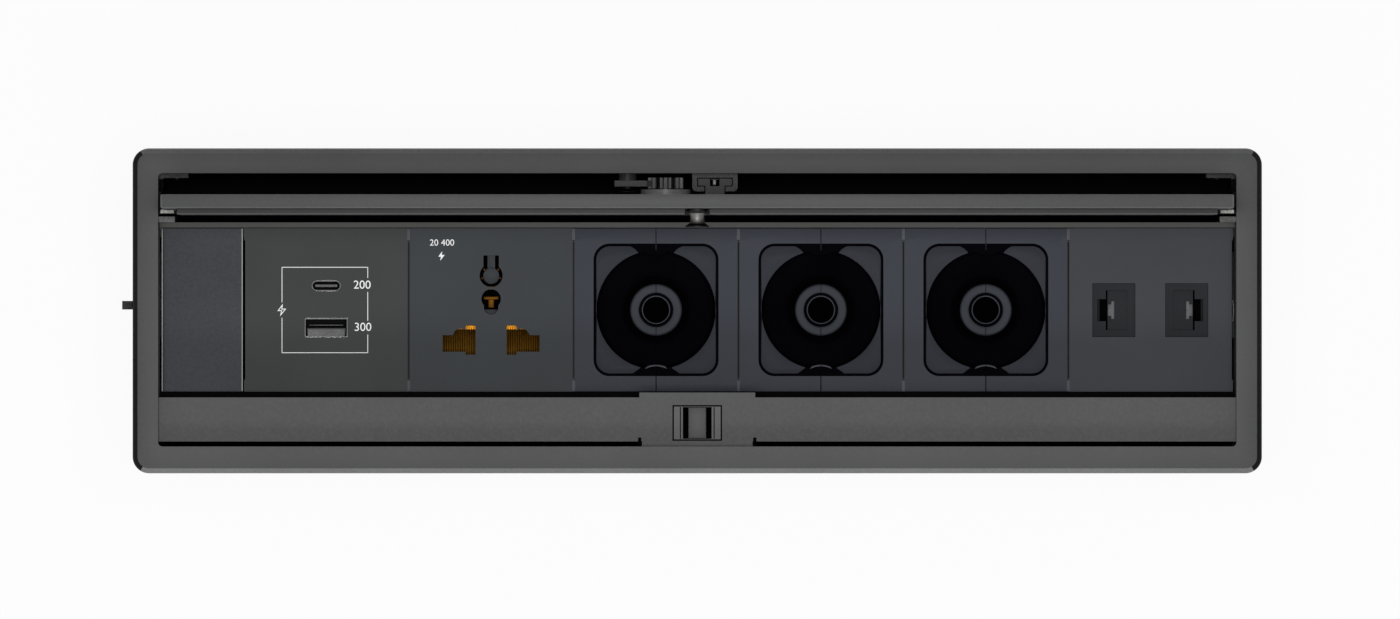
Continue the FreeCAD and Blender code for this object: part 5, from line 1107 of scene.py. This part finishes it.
# %% Earth shutter
def make_shutter():
    top = -30.0
    metal_top = top - 0.9
    shutter = rod("earth_shutter", (SOCKET_X, 10.6, top - 1.4), 1.4, 2.45, 48)
    stem = block("stem", (SOCKET_X - 1.15, 11.0, top - 1.4), (SOCKET_X + 1.15, 16.9, top))
    fuse(shutter, stem)
    foot = rod("foot", (SOCKET_X, 0.9, top - 1.4), 1.4, 2.0, 48)
    carve(foot, block("cut", (SOCKET_X - 3, 0.5, top - 2), (SOCKET_X + 3, 4, top + 1)))
    shutter = join(shutter, foot)
    bevel(shutter, 0.18, 2, all_at(top))
    finish(shutter, SOCKET_ABS, "root")
    bar = block("earth_bridge", (SOCKET_X - 2.3, 3.4, top - 1.6), (SOCKET_X + 2.3, 4.4, metal_top))
    stem = block("stem", (SOCKET_X - 0.9, 0.9, top - 1.6), (SOCKET_X + 0.9, 3.6, metal_top))
    fuse(bar, stem)
    bevel(bar, 0.2, 2, all_at(metal_top))
    glints = [soft_block("neck", (SOCKET_X - 0.8, 6.3, top - 1.6), (SOCKET_X + 0.8, 7.6, metal_top), 0.3, 3)]
    for x, y in ((-2.1, 12.5), (2.1, 12.5), (-2.75, 9.9), (2.75, 9.9)):
        glint = rod("glint", (SOCKET_X + x, y, top - 1.8), 0.9, 0.38, 16)
        glints.append(bevel(glint, 0.15, 2, all_at(metal_top)))
    finish(join(bar, *glints), BRIDGE_BRASS, "root")


make_shutter()

# %% [markdown]
# ## Data jacks
# A sprung shutter closes each jack behind its opening, and beside the black keyway stands a small light-
# grey latch block.

# %% Latch blocks, shutters and catches of the jacks
JACK_TOP = -28.1


def make_jack_block(name, x, sign):
    """A stepped block just inside the plug's opening, with its narrow side towards the keyway."""
    wide = block(name, (x - 0.5, -2.5, -30.3), (x + 0.5, 3.0, JACK_TOP))
    low_x, high_x = sorted((x - sign * 0.2, x - sign * 1.5))
    fuse(wide, block("narrow", (low_x, -1.6, -30.3), (high_x, 2.0, JACK_TOP)))
    bevel(wide, 0.12, 2, all_at(JACK_TOP))
    finish(wide, KEY_ABS, "root")


def make_jack_shutter(name, low_x, high_x):
    """A sprung dust shutter that closes the plug's opening, with a step round its rim."""
    door = soft_block(name, (low_x, -5.85, -31.4), (high_x, 6.25, -28.4), 0.2)
    carve(door, block("step", (low_x + 1.3, -3.2, -28.55), (high_x - 1.2, 3.7, -27)))
    finish(door, SHUTTER_ABS, "root")


def make_jack_lip(name, x):
    """A shallow catch at the far side of the keyway, darker than the jack as painted shade of its recess."""
    lip = soft_block(name, (x - 0.34, -3.1, -31.0), (x + 0.34, 3.5, JACK_TOP), 0.1)
    carve(lip, block("rest", (x - 0.5, -1.9, -28.7), (x + 0.5, 2.3, -27)))
    finish(lip, LIP_SHADE_ABS, "root")


make_jack_block("jack_block_left", 126.0, 1)
make_jack_block("jack_block_right", 148.7, -1)
make_jack_shutter("jack_shutter_left", 124.35, 130.6)
make_jack_shutter("jack_shutter_right", 144.1, 150.35)
make_jack_lip("jack_lip_left", 121.68)
make_jack_lip("jack_lip_right", 153.02)

# %% [markdown]
# ## Touch latch and striker
# The latch sits flush in the tab of the front rail. A slider moves up and down between two slots, and a thin
# line beside each slot marks where the case is split. The walls under the face and the slider's sides are
# painted black, as painted shade, which makes the slots dark. The striker on the lid is turned from steel: a
# flare where it is riveted, a neck that the latch grips, and a flared head. Both flares are painted black, as
# painted shade. The liner is cut away round it.

# %% Latch
CASE_TOP, SLIDER_TOP = -4.0, -7.05


def make_latch():
    case = block("latch_body", (-7.6, -39.4, -24.0), (7.6, -28.4, CASE_TOP))
    rim = block("rim", (-8, -40, CASE_TOP - 0.06), (8, -28, -3))
    core = block("core", (-7.05, -38.85, -6), (7.05, -28.95, -2))
    carve(case, carve(rim, core))
    carve(case, block("mouth", (-4.35, -38.7, -22.4), (4.35, -29.1, -3)))
    for side in (-1, 1):
        low_x, high_x = sorted((side * 4.95, side * 5.25))
        carve(case, block("split", (low_x, -38.7, -6.5), (high_x, -29.1, -3)))
        low_x, high_x = sorted((side * 6.9, side * 8.4))
        fuse(case, block("ledge", (low_x, -38.4, -12.0), (high_x, -29.4, -9.0)))
    finish(case, LATCH_POM, "root", ["latch_case"])

    def under_the_face(ends):
        heights = [end.z for end in ends]
        return max(heights) < CASE_TOP - 0.03 or min(heights) < CASE_TOP - 0.3

    # The walls of the mouth and slots and the floor of the shallow rim are painted black, as painted shade.
    paint(case, BLACK_ABS_AND_SHADE, under_the_face)
    slider = soft_block("latch_slider", (-2.7, -38.6, -12.0), (2.7, -29.2, SLIDER_TOP), 0.2, 3)
    carve(slider, rod("spring_seat", (0, -33.9, -13), 3.5, 3.1, 32))
    finish(slider, SLIDER_POM, "latch_plunger", ["latch_plunger"])
    # The slider's sides are painted black, as painted shade.
    paint(slider, BLACK_ABS_AND_SHADE, lambda ends: min(end.z for end in ends) < SLIDER_TOP - 0.4)


make_latch()

# %% Striker and liner
STRIKER_Z, NOTCH_RADIUS = 67.0, 3.75


def make_striker():
    profile = [
        (0.0, 30.6), (3.1, 30.6), (3.2, 30.3), (3.1, 30.0), (2.5, 29.3), (2.15, 28.5), (2.05, 27.6),
        (2.15, 26.8), (2.5, 26.2), (3.2, 25.7), (3.55, 25.45), (3.55, 25.2), (3.4, 25.1), (0.0, 25.1),
    ]
    stud = outline("striker_stud", [(radius, y, STRIKER_Z) for radius, y in profile])
    spin_round(stud, 48, (0, 0, STRIKER_Z * MM), (0, 1, 0))
    finish(stud, STRIKER_STEEL, "lid", ["striker"], 40)

    def flare(ends):
        return all(end.y > 29.25 for end in ends) or all(end.y < 26.25 for end in ends)

    # The flares get the black coat, as painted shade on the turned steel.
    paint(stud, BLACK_ZINC_AND_SHADE, flare)


def make_liner():
    low, high = [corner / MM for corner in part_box("lid_liner")]
    panel = block("lid_liner_panel", low, high)
    bevel(panel, 0.3, 2, anywhere)
    notch = rod("notch", (0, low.y - 1, STRIKER_Z), 4, NOTCH_RADIUS, 48, "Y")
    mouth = block("mouth", (-NOTCH_RADIUS, low.y - 1, STRIKER_Z), (NOTCH_RADIUS, high.y + 1.2, high.z + 2))
    fuse(notch, mouth)
    carve(panel, notch)
    finish(panel, LINER_ABS, "lid", ["lid_liner"])

    def highlight_mask(ends):
        middle = middle_of(ends)
        return high.z - 0.29 < middle.z < high.z - 0.01 and middle.y < low.y + 0.29

    # The liner's top front edge gets a painted highlight.
    paint(panel, EDGE_HIGHLIGHT_COAT, highlight_mask)


make_striker()
make_liner()

# %% Runner spring
def make_runner_spring():
    """A steel leaf in a slot of the guide runner, which keeps the runner from rattling in its channel."""
    low, high = [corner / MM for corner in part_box("guide_runner")]
    middle = (low.x + high.x) / 2
    lip_z = high.z + 0.08
    holder = block("runner_insert", (middle - 1.5, 37.7, high.z - 4.0), (middle + 1.4, 40.1, lip_z))
    carve(holder, block("slot", (middle - 1.15, 37.9, high.z - 3.0), (middle + 1.05, 39.9, high.z + 1)))
    bevel(holder, 0.05, 1, all_at(lip_z))
    finish(holder, BLACK_ABS_AND_SHADE, "carriage")
    leaf_low, leaf_high = (middle - 0.7, 38.0, high.z - 2.9), (middle + 0.4, 39.8, high.z + 0.02)
    leaf = soft_block("runner_leaf", leaf_low, leaf_high, 0.2, 3)
    finish(leaf, STRIKER_STEEL, "carriage")


make_runner_spring()

# %% [markdown]
# ## Screws
# The small screws are pan heads with a cross recess. The clamp screws are long ones with a real thread,
# because the dogs travel on it.

# %% Cross-recess screws
def cross_screw(name, head_radius, head_tall, shank_radius, shank_long):
    """A pan-head screw that stands on its shank, with the underside of its head at zero height."""
    profile = [
        (0.0, head_tall), (head_radius * 0.55, head_tall), (head_radius * 0.85, head_tall * 0.82),
        (head_radius, head_tall * 0.45), (head_radius, 0.0), (shank_radius, 0.0),
        (shank_radius, -shank_long + 0.3), (shank_radius - 0.3, -shank_long), (0.0, -shank_long),
    ]
    screw = turned(name, profile, 32)
    arm, width = head_radius * 0.55, head_radius * 0.16
    for reach_x, reach_y in ((arm, width), (width, arm)):
        low = (-reach_x, -reach_y, head_tall * 0.35)
        carve(screw, block("recess", low, (reach_x, reach_y, head_tall + 1)))
    return screw


def lay_screws(name, pattern, spots, body, material, replaces):
    """Copies a screw to each place, with its head towards the front, and joins the copies."""
    select_only(pattern)
    bpy.ops.transform.rotate(value=-math.pi / 2, orient_axis="X", center_override=(0, 0, 0))
    apply_place(pattern)
    reach = [vertex.co.y for vertex in pattern.data.vertices]
    if -min(reach) > max(reach):
        raise ValueError("the shanks look to the front")
    copies = []
    for index, (x, y, z) in enumerate(spots):
        copies.append(shift(copy_of(pattern, f"{name}_{index}"), x, y, z))
    bpy.data.objects.remove(pattern, do_unlink=True)
    screws = join(*copies)
    screws.name = name
    finish(screws, material, body, replaces)


bracket_spots = [(side * 157.6, 40.2, level) for side in (-1, 1) for level in (-20.5, -50.5)]
bracket_screw = cross_screw("bracket_screw", 1.6, 0.8, 1.0, 2.9)
lay_screws("bracket_pan_screws", bracket_screw, bracket_spots, "root", BLACK_ZINC_AND_SHADE, ["bracket_screws"])
carriage_spots = [(-14.1, 33.4, -16.5), (-5.1, 33.4, -16.5), (5.35, 33.4, -18.25), (5.35, 33.4, -14.75)]
carriage_screw = cross_screw("carriage_screw", 1.6, 0.8, 1.0, 2.4)
lay_screws("carriage_pan_screws", carriage_screw, carriage_spots, "carriage", BLACK_ZINC_AND_SHADE, ["carriage_screws"])
rack_spots = [(-21.1, 37.65, level) for level in (-20.0, -52.75, -85.5)]
rack_screw = cross_screw("rack_screw", 2.5, 1.4, 1.25, 5.4)
lay_screws("rack_pan_screws", rack_screw, rack_spots, "root", BLACK_ZINC_AND_SHADE, ["rack_screws"])

# %% Clamp screws
PITCH_MM, THREAD_DEPTH = 0.7, 0.42
CLAMP_X, CLAMP_Y = 158.9, 1.7
CLAMP_FOOT, CLAMP_TOP = -80.0, -34.0


def threaded_rod(name, radius, foot, top):
    """A rod whose thread is one tooth outline, wound up by the screw modifier and cut level at both ends."""
    root = radius - THREAD_DEPTH
    tooth = [(root, 0, 0), (radius, 0, PITCH_MM * 0.44), (radius, 0, PITCH_MM * 0.56), (root, 0, PITCH_MM)]
    rod_mesh = outline(name, tooth)
    pick(rod_mesh, "FACE", anywhere)
    bpy.ops.mesh.delete(type="ONLY_FACE")
    close_edit()
    pick(rod_mesh, "EDGE", lambda ends: abs(abs(ends[0].z - ends[1].z) - PITCH_MM) < 0.01)
    bpy.ops.mesh.delete(type="EDGE")
    close_edit()
    turns = math.ceil((top - foot) / PITCH_MM) + 3
    select_only(rod_mesh)
    bpy.ops.object.modifier_add(type="SCREW")
    winding = rod_mesh.modifiers[0]
    winding.screw_offset = PITCH_MM * MM
    winding.iterations = turns
    winding.steps = 20
    winding.render_steps = 20
    winding.use_merge_vertices = True
    bpy.ops.object.modifier_apply(modifier=winding.name)
    shift(rod_mesh, z=foot - PITCH_MM * 1.5)
    pick(rod_mesh, "VERT", anywhere)
    bpy.ops.mesh.remove_doubles(threshold=0.001 * MM)
    close_edit()
    for level, keep in ((foot, "clear_inner"), (top, "clear_outer")):
        pick(rod_mesh, "FACE", anywhere)
        bpy.ops.mesh.bisect(plane_co=(0, 0, level * MM), plane_no=(0, 0, 1), use_fill=True, **{keep: True})
        close_edit()
    return face_outwards(rod_mesh)


for side, sign in (("left", -1), ("right", 1)):
    threaded = threaded_rod(f"clamp_screw_{side}_threaded", 2.0, CLAMP_FOOT, CLAMP_TOP)
    head = cross_screw("head", 3.2, 2.2, 1.5, 0.5)
    fuse(threaded, shift(head, z=CLAMP_TOP - 0.4))
    shift(threaded, x=sign * CLAMP_X, y=CLAMP_Y)
    finish(threaded, BLACK_ZINC_AND_SHADE, f"clamp_screw_{side}", [f"clamp_screw_{side}"])

# %% [markdown]
# ## Finishes of the solids that stay
# The other solids already have the shape of the real pieces. Each gets the finish of what it is made of. The
# trough's coat is near black inside and on the front module rail, as painted shade, and lighter on its
# outside, where daylight falls, as painted light. A solid that a finer piece replaces isn't seen, so it keeps
# the common plastic.

# %% Finishes by node
SKIN_MM = 0.9
NODE_FINISH = {
    "front_rail": RAIL_COAT,
    "housing_shell": STEEL_SHADE_COAT, "end_plate_left": STEEL_SHADE_COAT, "end_plate_right": STEEL_SHADE_COAT,
    "corner_bracket_left": BRACKET_ZINC, "corner_bracket_right": BRACKET_ZINC,
    "side_track_left": TRACK_ZINC, "side_track_right": TRACK_ZINC,
    "clamp_bracket_left": BLACK_ZINC_AND_SHADE, "clamp_bracket_right": BLACK_ZINC_AND_SHADE,
    "module_rail_rear": RAIL_STEEL, "module_rail_front": STEEL_SHADE_COAT,
    "guide_channel": BLACK_ANODISED, "carriage": CARRIAGE_ANODISED,
    "hinge_leaf_left": ZINC, "hinge_leaf_right": ZINC, "hinge_pins": ZINC, "latch_spring": ZINC,
    "clamp_dog_left": BLACK_ZINC_AND_SHADE, "clamp_dog_right": BLACK_ZINC_AND_SHADE,
    "usb_plate": USB_ABS, "socket_plate": SOCKET_ABS, "data_plate": DATA_ABS,
    "rack": RACK_POM, "guide_runner": RUNNER_POM,
    "damper_case": DAMPER_LIT_POM, "damper_pinion": TOOTH_POM, "usb_case": CASE_PBT, "socket_body": DARK_ABS,
    "power_inlet": CASE_PBT, "data_jack_left": JACK_ABS, "data_jack_right": JACK_ABS,
    "usb_c_port": SHELL_STEEL, "usb_a_port": SHELL_STEEL, "usb_board": RESIST,
    "contact_earth": DEEP_BRASS, "jack_contacts": DEEP_BRASS, "inlet_pins": NICKEL, "inner_wires": SHEATH,
}
for name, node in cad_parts.items():
    node.data.materials.clear()
    node.data.materials.append(NODE_FINISH.get(name, PORT_ABS))
print("finished", len(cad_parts), "nodes")


def coat_outside(name, coat):
    """Gives the faces that lie on the sides and the bottom of a solid's box a further finish."""
    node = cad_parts[name]
    low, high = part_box(name)
    node.data.materials.append(coat)
    for face in node.data.polygons:
        middle = node.matrix_world @ face.center
        across = min(middle.x - low.x, high.x - middle.x, middle.y - low.y, high.y - middle.y)
        if min(across, middle.z - low.z) < SKIN_MM * MM:
            face.material_index = 1


# The outside of the trough gets the lighter coat, as painted light.
for name in ("housing_shell", "end_plate_left", "end_plate_right"):
    coat_outside(name, SHELL_LIT_COAT)
